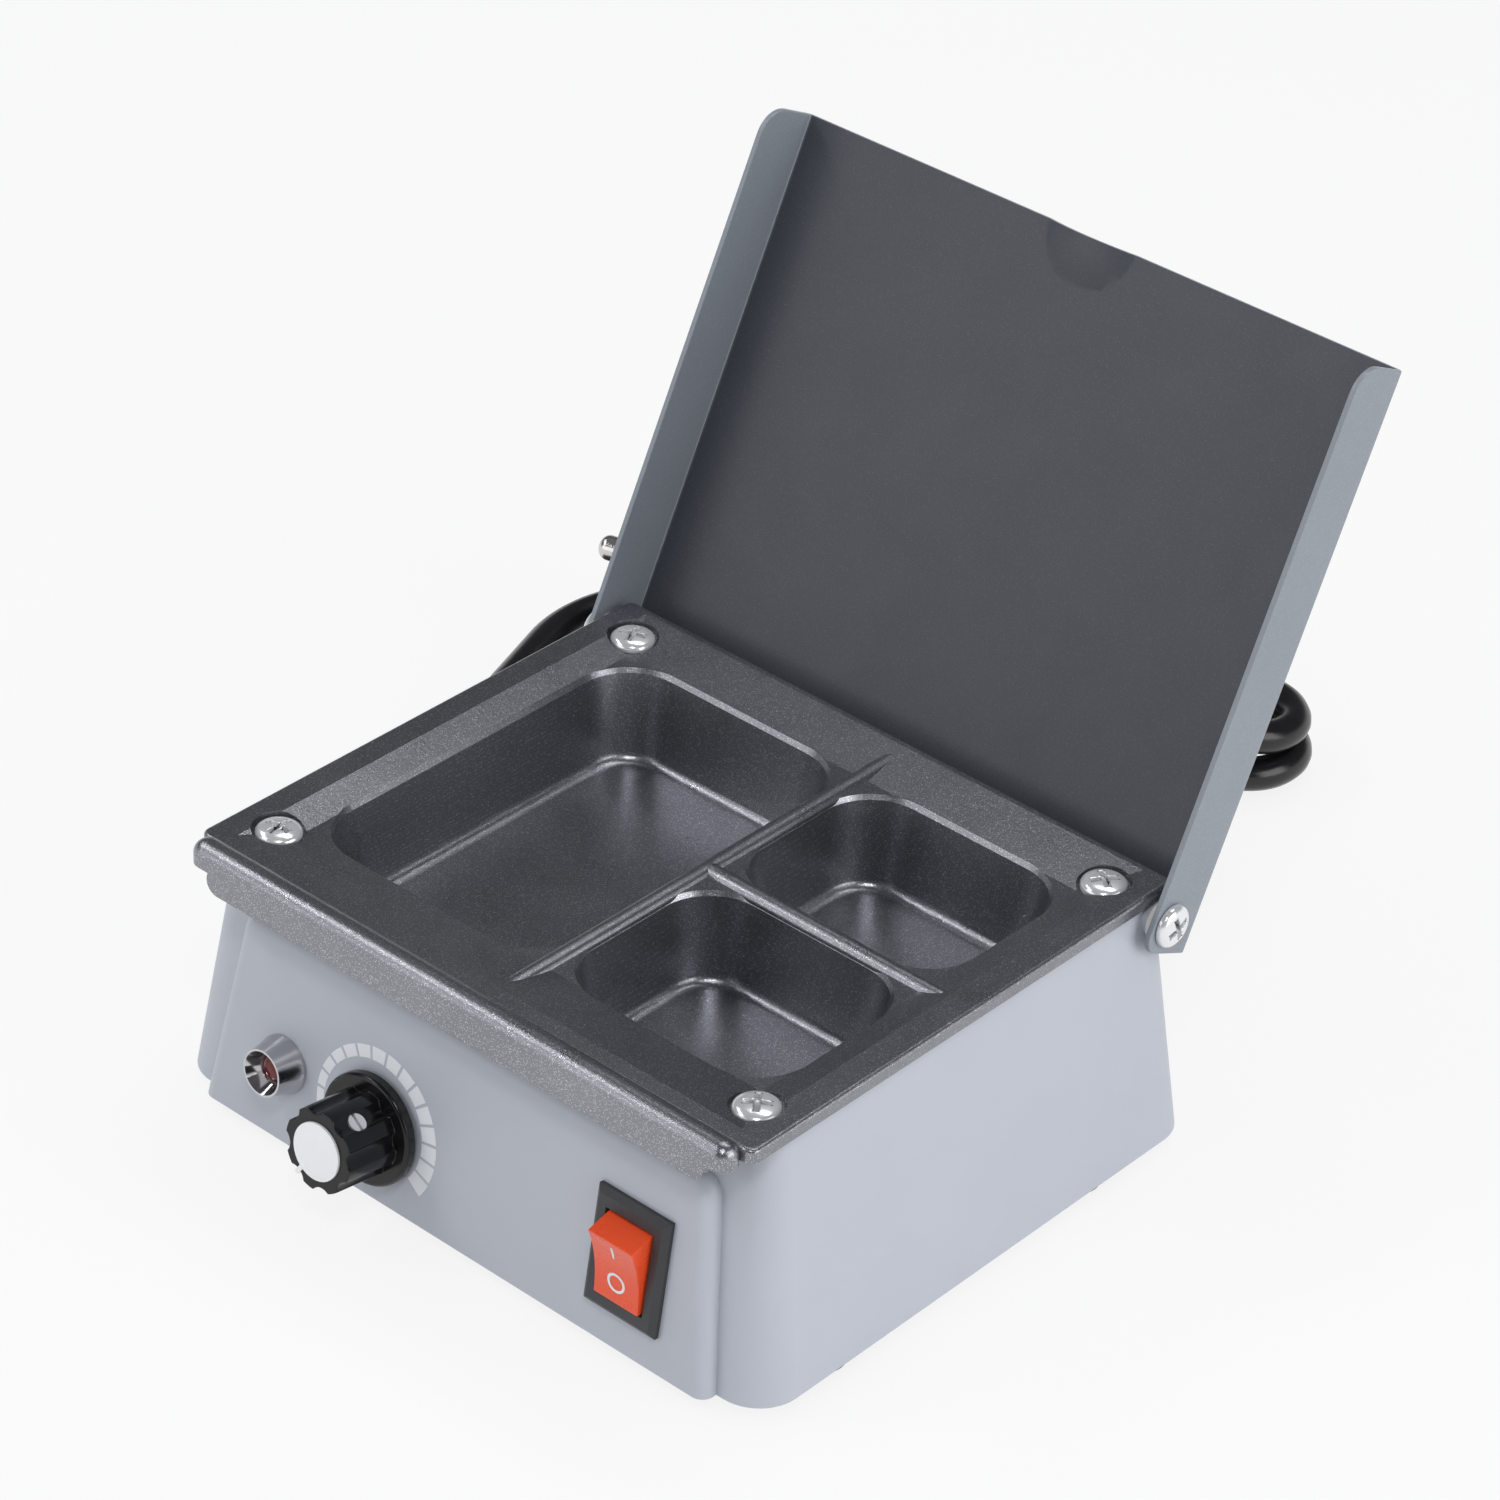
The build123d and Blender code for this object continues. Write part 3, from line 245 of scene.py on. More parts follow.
# linear colours; gloss is the least and most roughness, flake is (colour, cells to the metre, share)
LOOKS = {
    "housing_paint": dict(colour=(0.47, 0.495, 0.555), shade=(0.455, 0.48, 0.54), gloss=(0.36, 0.44),
                          grain_scale=1500.0, grain_depth=0.12),
    "tray_coating": dict(colour=(0.275, 0.28, 0.305), shade=(0.245, 0.25, 0.275), gloss=(0.26, 0.32),
                         grain_scale=1500.0, grain_depth=0.7, Metallic=0.95,
                         flake=((0.74, 0.75, 0.79), 6500.0, 0.18)),
    "lid_paint": dict(colour=(0.052, 0.058, 0.072), shade=(0.048, 0.054, 0.067), gloss=(0.40, 0.48),
                      grain_scale=1800.0, grain_depth=0.12, flake=((0.085, 0.094, 0.112), 5200.0, 0.15)),
    # lighter copy of the lid's paint for its flanges, edges and outside: painted reflection, not a second
    # paint
    "lid_painted_reflection": dict(colour=(0.24, 0.265, 0.300), shade=(0.23, 0.253, 0.288), gloss=(0.32, 0.40),
                        grain_scale=1800.0, grain_depth=0.12, flake=((0.30, 0.33, 0.37), 5200.0, 0.15)),
    "screw_steel": dict(colour=(0.88, 0.88, 0.89), shade=(0.78, 0.78, 0.80), gloss=(0.16, 0.26),
                        grain_scale=2500.0, grain_depth=0.15, Metallic=0.6),
    "sheet_steel": dict(colour=(0.60, 0.61, 0.62), shade=(0.50, 0.51, 0.53), gloss=(0.28, 0.42),
                        mottle_scale=140.0, grain_depth=0.3, Metallic=1.0),
    "rubber_black": dict(colour=(0.022, 0.022, 0.024), shade=(0.030, 0.030, 0.032), gloss=(0.62, 0.78),
                         grain_scale=1100.0, grain_depth=0.8),
    "nylon": dict(colour=(0.78, 0.77, 0.72), shade=(0.70, 0.69, 0.64), gloss=(0.42, 0.55)),
    "mica": dict(colour=(0.56, 0.47, 0.33), shade=(0.42, 0.34, 0.22), gloss=(0.35, 0.5), mottle_scale=200.0,
                 flake=((0.75, 0.66, 0.48), 900.0, 0.2)),
    "insulation_felt": dict(colour=(0.76, 0.75, 0.70), shade=(0.62, 0.61, 0.56), gloss=(0.85, 0.95),
                            mottle_scale=420.0, grain_scale=1600.0, grain_depth=2.5),
    "ceramic_white": dict(colour=(0.80, 0.79, 0.75), shade=(0.74, 0.73, 0.69), gloss=(0.25, 0.4)),
    "copper_tube": dict(colour=(0.78, 0.42, 0.27), shade=(0.62, 0.31, 0.19), gloss=(0.25, 0.42),
                        Metallic=1.0),
    "brass_parts": dict(colour=(0.76, 0.58, 0.28), shade=(0.66, 0.48, 0.22), gloss=(0.22, 0.36),
                        Metallic=1.0),
    "bakelite_dark": dict(colour=(0.035, 0.032, 0.03), shade=(0.05, 0.043, 0.038), gloss=(0.22, 0.36)),
    "knob_black": dict(colour=(0.006, 0.006, 0.007), shade=(0.009, 0.009, 0.010), gloss=(0.16, 0.24),
                       grain_scale=700.0, grain_depth=0.1, Specular_IOR_Level=0.35),
    "cap_silver": dict(colour=(0.88, 0.89, 0.90), shade=(0.82, 0.83, 0.85), gloss=(0.30, 0.42),
                       grain_scale=2200.0, grain_depth=0.15, Metallic=0.25),
    "lamp_chrome": dict(colour=(0.60, 0.59, 0.60), shade=(0.54, 0.53, 0.54), gloss=(0.08, 0.14),
                        grain_scale=400.0, grain_depth=0.04, Metallic=1.0),
    "lens_red": dict(colour=(0.17, 0.006, 0.012), shade=(0.12, 0.004, 0.008), gloss=(0.10, 0.18),
                     grain_scale=500.0, grain_depth=0.1),
    "switch_black": dict(colour=(0.030, 0.031, 0.035), shade=(0.038, 0.039, 0.043), gloss=(0.42, 0.55),
                         grain_scale=2400.0, grain_depth=1.6),
    "rocker_orange": dict(colour=(0.83, 0.085, 0.022), shade=(0.78, 0.073, 0.018), gloss=(0.24, 0.34),
                          grain_scale=900.0, grain_depth=0.08),
    "cord_black": dict(colour=(0.007, 0.007, 0.008), shade=(0.010, 0.010, 0.011), gloss=(0.20, 0.28),
                       grain_scale=1200.0, grain_depth=0.3),
    "wire_white": dict(colour=(0.78, 0.78, 0.77), shade=(0.70, 0.70, 0.69), gloss=(0.35, 0.45)),
    "pin_nickel": dict(colour=(0.70, 0.69, 0.67), shade=(0.60, 0.59, 0.57), gloss=(0.16, 0.28), Metallic=1.0),
    "print_white": dict(colour=(0.80, 0.82, 0.86), shade=(0.75, 0.77, 0.81), gloss=(0.45, 0.6),
                        grain_scale=1500.0, grain_depth=0.1),
}
FINISHES = {name: finish_of(name, **look) for name, look in LOOKS.items()}

for part in frame["record"]["subparts"]:
    mesh = NODES[part["node"]].data
    mesh.materials.clear()
    mesh.materials.append(FINISHES[part["material_slot"]])
SLOT_OF = {part["node"]: part["material_slot"] for part in frame["record"]["subparts"]}


# ------------------------------------------------------------------ working with pieces
PANEL_TURN = Matrix(((1, 0, 0), PANEL_UP, PANEL_OUT)).transposed().to_4x4()


def choose(*objects):
    """Only these objects are selected; the last one is active."""
    bpy.ops.object.select_all(action="DESELECT")
    for piece in objects:
        piece.select_set(True)
    if objects:
        bpy.context.view_layer.objects.active = objects[-1]


def put(piece, turn, spot):
    """Turn and move a piece, and keep that in its mesh."""
    choose(piece)
    piece.matrix_world = Matrix.Translation(spot) @ turn
    bpy.ops.object.transform_apply(location=True, rotation=True, scale=True)
    return piece


def towards(axis):
    """Turn that takes +Z to the axis."""
    return Vector(axis).to_track_quat("Z", "Y").to_matrix().to_4x4()


def apply_modifier(piece, kind, **settings):
    """Add one modifier with its settings and apply it."""
    choose(piece)
    modifier = piece.modifiers.new(kind.lower(), kind)
    for key, value in settings.items():
        setattr(modifier, key, value)
    bpy.ops.object.modifier_apply(modifier=modifier.name)


def outward(piece, angle=35.0):
    """Normals outward and smooth shading up to the angle."""
    choose(piece)
    bpy.ops.object.mode_set(mode="EDIT")
    bpy.ops.mesh.select_all(action="SELECT")
    bpy.ops.mesh.normals_make_consistent(inside=False)
    bpy.ops.object.mode_set(mode="OBJECT")
    bpy.ops.object.shade_smooth_by_angle(angle=radians(angle))


def settle(piece, name, body, slot, finish=None):
    """Name, finish and body of a finished piece."""
    piece.name = name
    piece.data.name = name
    piece.data.materials.clear()
    piece.data.materials.append(FINISHES[finish or slot])
    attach(piece, body)
    return piece


def dressed(node, width, angle=32.0, segments=2):
    """Copy of a solid with its sharp edges broken, standing for it."""
    piece = bpy.data.objects.new(node + "_finished", NODES[node].data.copy())
    bpy.context.scene.collection.objects.link(piece)
    choose(piece)
    bpy.ops.object.mode_set(mode="EDIT")
    bpy.ops.mesh.select_all(action="SELECT")
    bpy.ops.mesh.remove_doubles(threshold=0.000001)
    bpy.ops.mesh.customdata_custom_splitnormals_clear()
    bpy.ops.mesh.dissolve_limited(angle_limit=radians(0.5))
    bpy.ops.object.mode_set(mode="OBJECT")
    apply_modifier(piece, "BEVEL", width=width * MM, segments=segments, limit_method="ANGLE",
                   angle_limit=radians(angle), use_clamp_overlap=False)
    bpy.ops.object.shade_smooth_by_angle(angle=radians(38))
    apply_modifier(piece, "WEIGHTED_NORMAL", mode="FACE_AREA", weight=100, keep_sharp=True)
    settle(piece, node + "_finished", NODES[node]["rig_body"], SLOT_OF[node])
    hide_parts(node)
    return piece


def turned(rings, spot, axis, sides=48):
    """Round piece grown ring by ring up its axis from spot; rings are (radius, height) in millimetres."""
    choose()
    radius, height = rings[0]
    bpy.ops.mesh.primitive_circle_add(vertices=sides, radius=radius * MM, fill_type="NGON",
                                      location=(0, 0, height * MM))
    piece = bpy.context.object
    bpy.ops.object.transform_apply(location=True, rotation=False, scale=False)
    bpy.ops.object.mode_set(mode="EDIT")
    bpy.ops.mesh.select_all(action="SELECT")
    for next_radius, next_height in rings[1:]:
        bpy.ops.mesh.extrude_region_move(
            TRANSFORM_OT_translate={"value": (0, 0, (next_height - height) * MM)})
        grow = next_radius / radius
        bpy.ops.transform.resize(value=(grow, grow, 1), center_override=(0, 0, 0))
        radius, height = next_radius, next_height
    bpy.ops.object.mode_set(mode="OBJECT")
    put(piece, towards(axis), spot)
    outward(piece)
    return piece


# ------------------------------------------------------------------ edges of the folded and moulded pieces
EDGE = 0.22
LID_PIVOT = Vector((0, 45.4, 45.5))
LID_OPEN = radians(64.5)
LID_INWARD = Vector((0, -sin(LID_OPEN), cos(LID_OPEN)))
LID_PANEL_DEPTH = 5.0
FACING = 0.6


def lid_paint_and_painted_reflection(lid):
    """Dark paint on the inner panel of the lid; its flanges, lip, cut edges and outside take a lighter copy
    of that paint, a painted reflection standing for the light they catch.
    """
    lid.data.materials.append(FINISHES["lid_painted_reflection"])
    for face in lid.data.polygons:
        depth = -(face.center - LID_PIVOT * MM).dot(LID_INWARD)
        panel = face.normal.dot(LID_INWARD) > FACING and depth > LID_PANEL_DEPTH * MM
        face.material_index = 0 if panel else 1


lid_paint_and_painted_reflection(dressed("lid", EDGE))
dressed("knob", EDGE)
dressed("switch_rocker", EDGE)


# ------------------------------------------------------------------ switch bezel and body
BEZEL_WIDE, BEZEL_TALL = 15.0, 21.0
BEZEL_SIDE, BEZEL_SLOPE, BEZEL_INSET = 0.8, 0.9, 2.0
WINDOW_WIDE, WINDOW_TALL = 9.9, 15.0
BODY_WIDE, BODY_TALL, BODY_DEEP = 12.6, 18.6, 17.5


def switch_block(wide, tall, low, high):
    """Block set square to the front panel where the switch is, between two heights over the panel."""
    choose()
    bpy.ops.mesh.primitive_cube_add(size=MM)
    block = bpy.context.object
    block.scale = (wide, tall, high - low)
    bpy.ops.object.transform_apply(location=True, rotation=True, scale=True)
    return put(block, PANEL_TURN, on_panel(SWITCH_X, SWITCH_S, (low + high) / 2))


def cut_window(piece, low):
    """Opening for the rocker, from a height below the panel out through the front."""
    window = switch_block(WINDOW_WIDE, WINDOW_TALL, low, 3.0)
    apply_modifier(piece, "BOOLEAN", operation="DIFFERENCE", object=window, solver="EXACT")
    bpy.data.objects.remove(window)


def switch_bezel():
    """Thin bezel with a sloping rim, its body behind, and the window for the rocker."""
    choose()
    bpy.ops.mesh.primitive_plane_add(size=MM)
    bezel = bpy.context.object
    bezel.scale = (BEZEL_WIDE, BEZEL_TALL, 1.0)
    bpy.ops.object.transform_apply(location=True, rotation=True, scale=True)
    bpy.ops.object.mode_set(mode="EDIT")
    bpy.ops.mesh.select_all(action="SELECT")
    for rise in (BEZEL_SIDE, BEZEL_SLOPE):
        bpy.ops.mesh.extrude_region_move(TRANSFORM_OT_translate={"value": (0, 0, rise * MM)})
    shrink = ((BEZEL_WIDE - BEZEL_INSET) / BEZEL_WIDE, (BEZEL_TALL - BEZEL_INSET) / BEZEL_TALL, 1)
    bpy.ops.transform.resize(value=shrink, center_override=(0, 0, 0))
    bpy.ops.object.mode_set(mode="OBJECT")
    put(bezel, PANEL_TURN, on_panel(SWITCH_X, SWITCH_S, 0.0))
    outward(bezel)
    cut_window(bezel, -3.0)
    apply_modifier(bezel, "BEVEL", width=0.12 * MM, segments=2, limit_method="ANGLE",
                   angle_limit=radians(60), use_clamp_overlap=False)
    body = switch_block(BODY_WIDE, BODY_TALL, -BODY_DEEP, 0.05)
    cut_window(body, -7.0)
    choose(body, bezel)
    bpy.ops.object.join()
    bezel = bpy.context.object
    outward(bezel, 40)
    settle(bezel, "switch_frame_finished", "base", "switch_black")
    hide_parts("switch_frame")


switch_bezel()


# ------------------------------------------------------------------ screws that show
# (share of the head's radius, height) up the rim and over the low dome
HEAD_RINGS = [(3.75 / 3.9, 0), (1, 0.12), (1, 0.75), (3.7 / 3.9, 1.15), (3.2 / 3.9, 1.5), (2.4 / 3.9, 1.75),
              (1.2 / 3.9, 1.88)]
TRAY_SCREW_X, TRAY_SCREW_Y, TRAY_SCREW_SEAT = 51.4, 41.6, 49.2
PIVOT_SCREW_SEAT = 62.15


def pan_screw(spot, axis, head_r, turn, shank_r=1.45, shank=8.0):
    """Pan-head screw with a cross recess, its head standing on spot."""
    k = head_r / 3.9
    screw = turned(
        [(shank_r, -shank), (shank_r, 0)] + [(share * head_r, height) for share, height in HEAD_RINGS]
        + [(0.3, 1.9)], (0, 0, 0), (0, 0, 1), 40)
    choose()
    bpy.ops.mesh.primitive_cube_add(size=MM, location=(0, 0, 1.7 * MM))
    slot = bpy.context.object
    slot.scale = (4.6 * k, 1.0 * k, 1.9)
    bpy.ops.object.transform_apply(location=True, rotation=True, scale=True)
    bpy.ops.object.mode_set(mode="EDIT")
    bpy.ops.mesh.select_all(action="SELECT")
    bpy.ops.mesh.duplicate_move()
    bpy.ops.transform.rotate(value=radians(90), orient_axis="Z", center_override=(0, 0, 0))
    bpy.ops.object.mode_set(mode="OBJECT")
    apply_modifier(screw, "BOOLEAN", operation="DIFFERENCE", object=slot, solver="EXACT", use_self=True)
    bpy.data.objects.remove(slot)
    apply_modifier(screw, "BEVEL", width=0.1 * MM, segments=2, limit_method="ANGLE",
                   angle_limit=radians(40), use_clamp_overlap=False)
    bpy.ops.object.shade_smooth_by_angle(angle=radians(38))
    return put(screw, towards(axis) @ Matrix.Rotation(radians(turn), 4, "Z"), spot)


def screws(node, finished):
    """Join finished screws into one piece that stands for the node."""
    choose(*finished)
    bpy.ops.object.join()
    piece = settle(bpy.context.object, node + "_finished", NODES[node]["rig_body"], SLOT_OF[node])
    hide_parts(node)


screws("tray_screws", [
    pan_screw(Vector((across * TRAY_SCREW_X, along * TRAY_SCREW_Y, TRAY_SCREW_SEAT)) * MM, (0, 0, 1), 3.9,
              28 + 17 * across + 9 * along)
    for across in (-1, 1) for along in (-1, 1)])
screws("lid_pivot_screws", [
    pan_screw((LID_PIVOT + Vector((side * PIVOT_SCREW_SEAT, 0, 0))) * MM, (side, 0, 0), 3.7, 20, 1.95, 9.0)
    for side in (-1, 1)])


# ------------------------------------------------------------------ printed dial scale
SCALE_X, SCALE_S = -17.5, -34.95
SCALE_BLOCKS, SCALE_FROM, SCALE_TO = 15, 205.0, -24.0
SCALE_GAP = 2.4
SCALE_INNER, SCALE_OUTER = 11.3, 12.8
SCALE_INNER_GROWS, SCALE_OUTER_GROWS = -0.9, 1.1
PRINT_T = 0.04


def scale_block(start, sweep, inner, outer):
    """One printed block: a short radial line swept about the dial, angles in degrees."""
    width = (outer - inner) * MM
    choose()
    bpy.ops.mesh.primitive_plane_add(size=width, location=((inner + outer) / 2 * MM, width / 2, 0))
    piece = bpy.context.object
    bpy.ops.object.transform_apply(location=True, rotation=False, scale=False)
    bpy.ops.object.mode_set(mode="EDIT")
    bpy.ops.mesh.select_all(action="DESELECT")
    bpy.ops.object.mode_set(mode="OBJECT")
    for corner in piece.data.vertices:
        corner.select = corner.co.y > width / 2
    bpy.ops.object.mode_set(mode="EDIT")
    bpy.ops.mesh.delete(type="VERT")
    bpy.ops.mesh.select_all(action="SELECT")
    bpy.ops.mesh.spin(steps=6, angle=radians(sweep), center=(0, 0, 0), axis=(0, 0, 1))
    bpy.ops.object.mode_set(mode="OBJECT")
    apply_modifier(piece, "SOLIDIFY", thickness=PRINT_T * MM, offset=0)
    outward(piece)
    return put(piece, Matrix.Rotation(radians(start), 4, "Z"), (0, 0, 0))


def dial_scale():
    """Ring of printed blocks that grow clockwise round the knob."""
    step = (SCALE_FROM - SCALE_TO) / SCALE_BLOCKS
    blocks = []
    for number in range(SCALE_BLOCKS):
        share = (number + 0.5) / SCALE_BLOCKS
        start = SCALE_FROM - (number + 1) * step + SCALE_GAP / 2
        blocks.append(scale_block(start, step - SCALE_GAP, SCALE_INNER + SCALE_INNER_GROWS * share,
                                  SCALE_OUTER + SCALE_OUTER_GROWS * share))
    choose(*blocks)
    bpy.ops.object.join()
    piece = bpy.context.object
    put(piece, PANEL_TURN, on_panel(SCALE_X, SCALE_S, PRINT_T / 2))
    settle(piece, "dial_scale", "base", "housing_paint", "print_white")


dial_scale()


# ------------------------------------------------------------------ marks on the rocker
STROKE_WIDE, STROKE_TALL, STROKE_S = 0.42, 2.3, -28.6
RING_INNER, RING_GROWS, RING_S = 1.35, 1.35, -34.8
MARK_START = 14.0


def lay_on_rocker(piece, name, s):
    """Lay a flat mark on the face of the rocker, seen straight from the front."""
    put(piece, PANEL_TURN, (0, 0, 0))
    piece.matrix_world = Matrix.Translation(on_panel(SWITCH_X, s, MARK_START))
    bpy.ops.object.transform_apply(location=True, rotation=True, scale=True)
    # the mark is turned upright so that its own -Z points at the rocker
    piece.data.transform(PANEL_TURN.inverted())
    piece.matrix_world = PANEL_TURN
    apply_modifier(piece, "SHRINKWRAP", target=NODES["switch_rocker"], wrap_method="PROJECT",
                   use_project_z=True, use_negative_direction=True, use_positive_direction=False,
                   offset=PRINT_T * MM)
    choose(piece)
    bpy.ops.object.transform_apply(location=True, rotation=True, scale=True)
    apply_modifier(piece, "SOLIDIFY", thickness=PRINT_T * MM, offset=0)
    bpy.ops.object.shade_smooth_by_angle(angle=radians(40))
    settle(piece, name, "rocker", "rocker_orange", "print_white")


def rocker_marks():
    """Upright stroke and ring."""
    choose()
    bpy.ops.mesh.primitive_plane_add(size=1.0 * MM)
    stroke = bpy.context.object
    stroke.scale = (STROKE_WIDE, STROKE_TALL, 1)
    bpy.ops.object.transform_apply(location=True, rotation=True, scale=True)
    bpy.ops.object.mode_set(mode="EDIT")
    bpy.ops.mesh.select_all(action="SELECT")
    bpy.ops.mesh.subdivide(number_cuts=7)
    bpy.ops.object.mode_set(mode="OBJECT")
    lay_on_rocker(stroke, "rocker_stroke", STROKE_S)
    choose()
    bpy.ops.mesh.primitive_circle_add(vertices=40, radius=RING_INNER * MM, fill_type="NOTHING")
    ring = bpy.context.object
    bpy.ops.object.mode_set(mode="EDIT")
    bpy.ops.mesh.select_all(action="SELECT")
    bpy.ops.mesh.extrude_edges_move(TRANSFORM_OT_translate={"value": (0, 0, 0)})
    bpy.ops.transform.resize(value=(RING_GROWS, RING_GROWS, 1), center_override=(0, 0, 0))
    bpy.ops.object.mode_set(mode="OBJECT")
    lay_on_rocker(ring, "rocker_ring", RING_S)


rocker_marks()


# ------------------------------------------------------------------ mains cord
CORD_R = 3.2
LOW, HIGH = 3.25, 8.8
# gland, the drop to the bench, three turns of the hank, the rise to the plug
CORD_ROUTE = [
    (24, 75.24, 15.03), (24, 97.03, 18.06), (19, 113, 6), (8, 122.5, LOW), (-7, 126, LOW),
    # first turn, lying outside
    (-20, 118.6, LOW), (-45, 97.9, LOW), (-59.5, 85.6, LOW), (-72.3, 75, LOW), (-79, 62.5, LOW),
    (-85.2, 51.1, LOW), (-100.6, 52.3, LOW), (-106, 68.5, LOW), (-112, 86.1, LOW), (-106.8, 104.8, LOW),
    (-90.4, 113.3, LOW), (-50, 135.1, LOW), (-30, 145.3, LOW), (-9.4, 156.4, LOW), (1.1, 161.9, LOW),
    (11.3, 155.8, LOW), (11.3, 145.5, LOW), (3.5, 139.6, LOW), (-10, 132.5, LOW),
    # second turn, lying inside
    (-26, 121.9, LOW), (-50, 101.6, LOW), (-62.7, 91.4, LOW), (-77.6, 79, LOW), (-83.2, 68.5, LOW),
    (-90.5, 61, LOW), (-98.5, 65.5, LOW), (-105, 86.3, LOW), (-101.2, 100.2, LOW), (-89.8, 106.7, LOW),
    (-50, 127.5, LOW), (-22.4, 142.2, LOW), (-14.9, 146.2, 3.4), (-7.4, 142.2, 6.3), (-6.5, 133.7, 9.2),
    # third turn, in the groove between them
    (-13, 128.3, 9.1), (-30, 114.4, HIGH), (-61.1, 88.2, HIGH), (-75.1, 76.8, HIGH), (-82, 66, HIGH),
    (-87, 54.4, HIGH), (-98.3, 55.4, HIGH), (-102.5, 68, HIGH), (-108.8, 86.2, HIGH), (-104.1, 102.6, HIGH),
    (-90.1, 110, HIGH), (-50, 131.4, HIGH), (-30, 141.9, HIGH), (-8, 154.8, 9.3), (1.1, 160.9, 9.6),
    (10.6, 155.4, 9.8), (10.6, 145, 10.6), (3.5, 139.5, 13.5),
    # rise to the plug
    (-8, 130.5, 21), (-21.5, 121.2, 26), (-34, 117.9, 26), (-46.58, 114.49, 26),
]


def bench_cord(name, points, radius, resolution=10):
    """Round cord on one smooth line through the pull of its listed points, in millimetres."""
    curve = bpy.data.curves.new(name, "CURVE")
    curve.dimensions = "3D"
    line = curve.splines.new("NURBS")
    line.points.add(len(points) - 1)
    for knot, spot in zip(line.points, points):
        knot.co = (*(value * MM for value in spot), 1.0)
    line.order_u = 3
    line.use_endpoint_u = True
    curve.resolution_u = resolution
    line.resolution_u = resolution
    curve.bevel_depth = radius * MM
    curve.bevel_resolution = 6
    curve.use_fill_caps = True
    piece = bpy.data.objects.new(name, curve)
    bpy.context.scene.collection.objects.link(piece)
    return piece


cord = settle(bench_cord("mains_cord", CORD_ROUTE, CORD_R), "mains_cord", "base", "cord_black")
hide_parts("power_cord", "cord_hank", "plug_cord")


# ------------------------------------------------------------------ strain relief at the back wall
GLAND_SPOT = Vector((24.0, 53.449, 12.0)) * MM
BACK_OUT = Vector((0, cos(PANEL_TILT), sin(PANEL_TILT)))


def sleeve_rings(first, last, start, end, ribs):
    """Rings of a tapered sleeve with raised ribs, radius first to last between two heights."""
    rings = []
    step = (end - start) / ribs
    for number in range(ribs):
        low = start + number * step
        wide = first + (last - first) * number / ribs
        rings += [(wide - 0.75, low), (wide - 0.75, low + 0.34 * step), (wide, low + 0.46 * step),
                  (wide - 0.05, low + 0.88 * step), (wide - 0.75, low + step)]
    return rings


gland = turned(
    [(6.6, -0.2), (7.0, 0.0), (7.0, 1.5), (6.6, 2.0), (5.5, 2.1), (5.4, 3.6)]
    + sleeve_rings(5.35, 4.35, 3.8, 20.6, 7) + [(4.1, 20.8), (4.1, 21.7), (3.7, 22.1), (2.2, 22.1)],
    GLAND_SPOT, BACK_OUT)
settle(gland, "gland_finished", "base", "cord_black")
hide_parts("cord_gland")

# ------------------------------------------------------------------ plug
PLUG_HEADING = radians(15)
PIN_TIPS, PIN_LENGTH = Vector((-105.5, 98.7, 26.0)), 19.0
PLUG_OUT = Vector((cos(PLUG_HEADING), sin(PLUG_HEADING), 0))
PLUG_SIDE = Vector((-sin(PLUG_HEADING), cos(PLUG_HEADING), 0))
PLUG_FACE = PIN_TIPS + PIN_LENGTH * PLUG_OUT
PLUG_HALF_THICK, PLUG_BODY_LENGTH = 14.0, 24.0
RIB_FROM, RIB_STEP, RIB_COUNT = 5.0, 2.6, 5
PLUG_TURN = Matrix((PLUG_OUT, PLUG_SIDE, (0, 0, 1))).transposed().to_4x4()
plug = dressed("plug_body", 0.5, segments=3)


def grip_rib(along, high, side):
    """Rounded bar moulded on a flat side of the plug: place along the body, and side up or down."""
    choose()
    bpy.ops.mesh.primitive_cube_add(size=MM)
    rib = bpy.context.object
    rib.scale = (1.1, 18.0 * high, 1.0)
    bpy.ops.object.transform_apply(location=True, rotation=True, scale=True)
    apply_modifier(rib, "BEVEL", width=0.42 * MM, segments=3)
    bpy.ops.object.shade_smooth_by_angle(angle=radians(40))
    return put(rib, PLUG_TURN, (PLUG_FACE + along * PLUG_OUT + Vector((0, 0, side * PLUG_HALF_THICK))) * MM)


ribs = [grip_rib(RIB_FROM + RIB_STEP * number, 1.0 - 0.035 * number, side)
        for number in range(RIB_COUNT) for side in (-1, 1)]
choose(*ribs)
bpy.ops.object.join()
grip = settle(bpy.context.object, "plug_grip", "base", "cord_black")

plug_tail = turned(
    [(6.2, 0.0), (6.6, 0.4)] + sleeve_rings(6.6, 4.5, 0.6, 16.6, 6)
    + [(4.2, 16.9), (4.2, 17.8), (3.8, 18.1), (2.2, 18.1)],
    (PLUG_FACE + PLUG_BODY_LENGTH * PLUG_OUT) * MM, PLUG_OUT)
settle(plug_tail, "plug_tail", "base", "cord_black")


# ------------------------------------------------------------------ light, floor and camera
WORLD_LEVEL = 0.36
HORIZON_WHITE, OVERHEAD_GREY = (0.98, 0.98, 0.985, 1), (0.10, 0.10, 0.11, 1)
FLOOR_SHOWN_WHITE = 0.86
# name, place, width, height and power of the lamps; all face the heater
SOFT_BOXES = [
    ("top_box", (-0.05, 0.35, 0.95), 0.7, 0.25, 2.2),
    ("right_box", (0.95, 0.15, 0.40), 0.8, 0.6, 4.9),
    ("front_box", (-0.5, -0.95, 0.45), 0.8, 0.6, 2.1),
    ("camera_box", (0.45, -0.52, 0.95), 0.20, 0.20, 2.6),
    ("left_strip", (-0.70, -0.35, 0.85), 0.9, 0.12, 2.6),
]
LAMPS_AIM = (0.0, 0.0, 0.05)
# the camera fitted to the photograph
CAMERA_SPOT = (0.446657, -0.513802, 0.517230)
CAMERA_RIGHT = Vector((0.74392, 0.66693, 0.04247))
CAMERA_UP = Vector((-0.39269, 0.38484, 0.83528))
CAMERA_AHEAD = Vector((-0.54072, 0.63806, -0.54818))
CAMERA_LENS, CAMERA_SENSOR = 123.99, 36.0


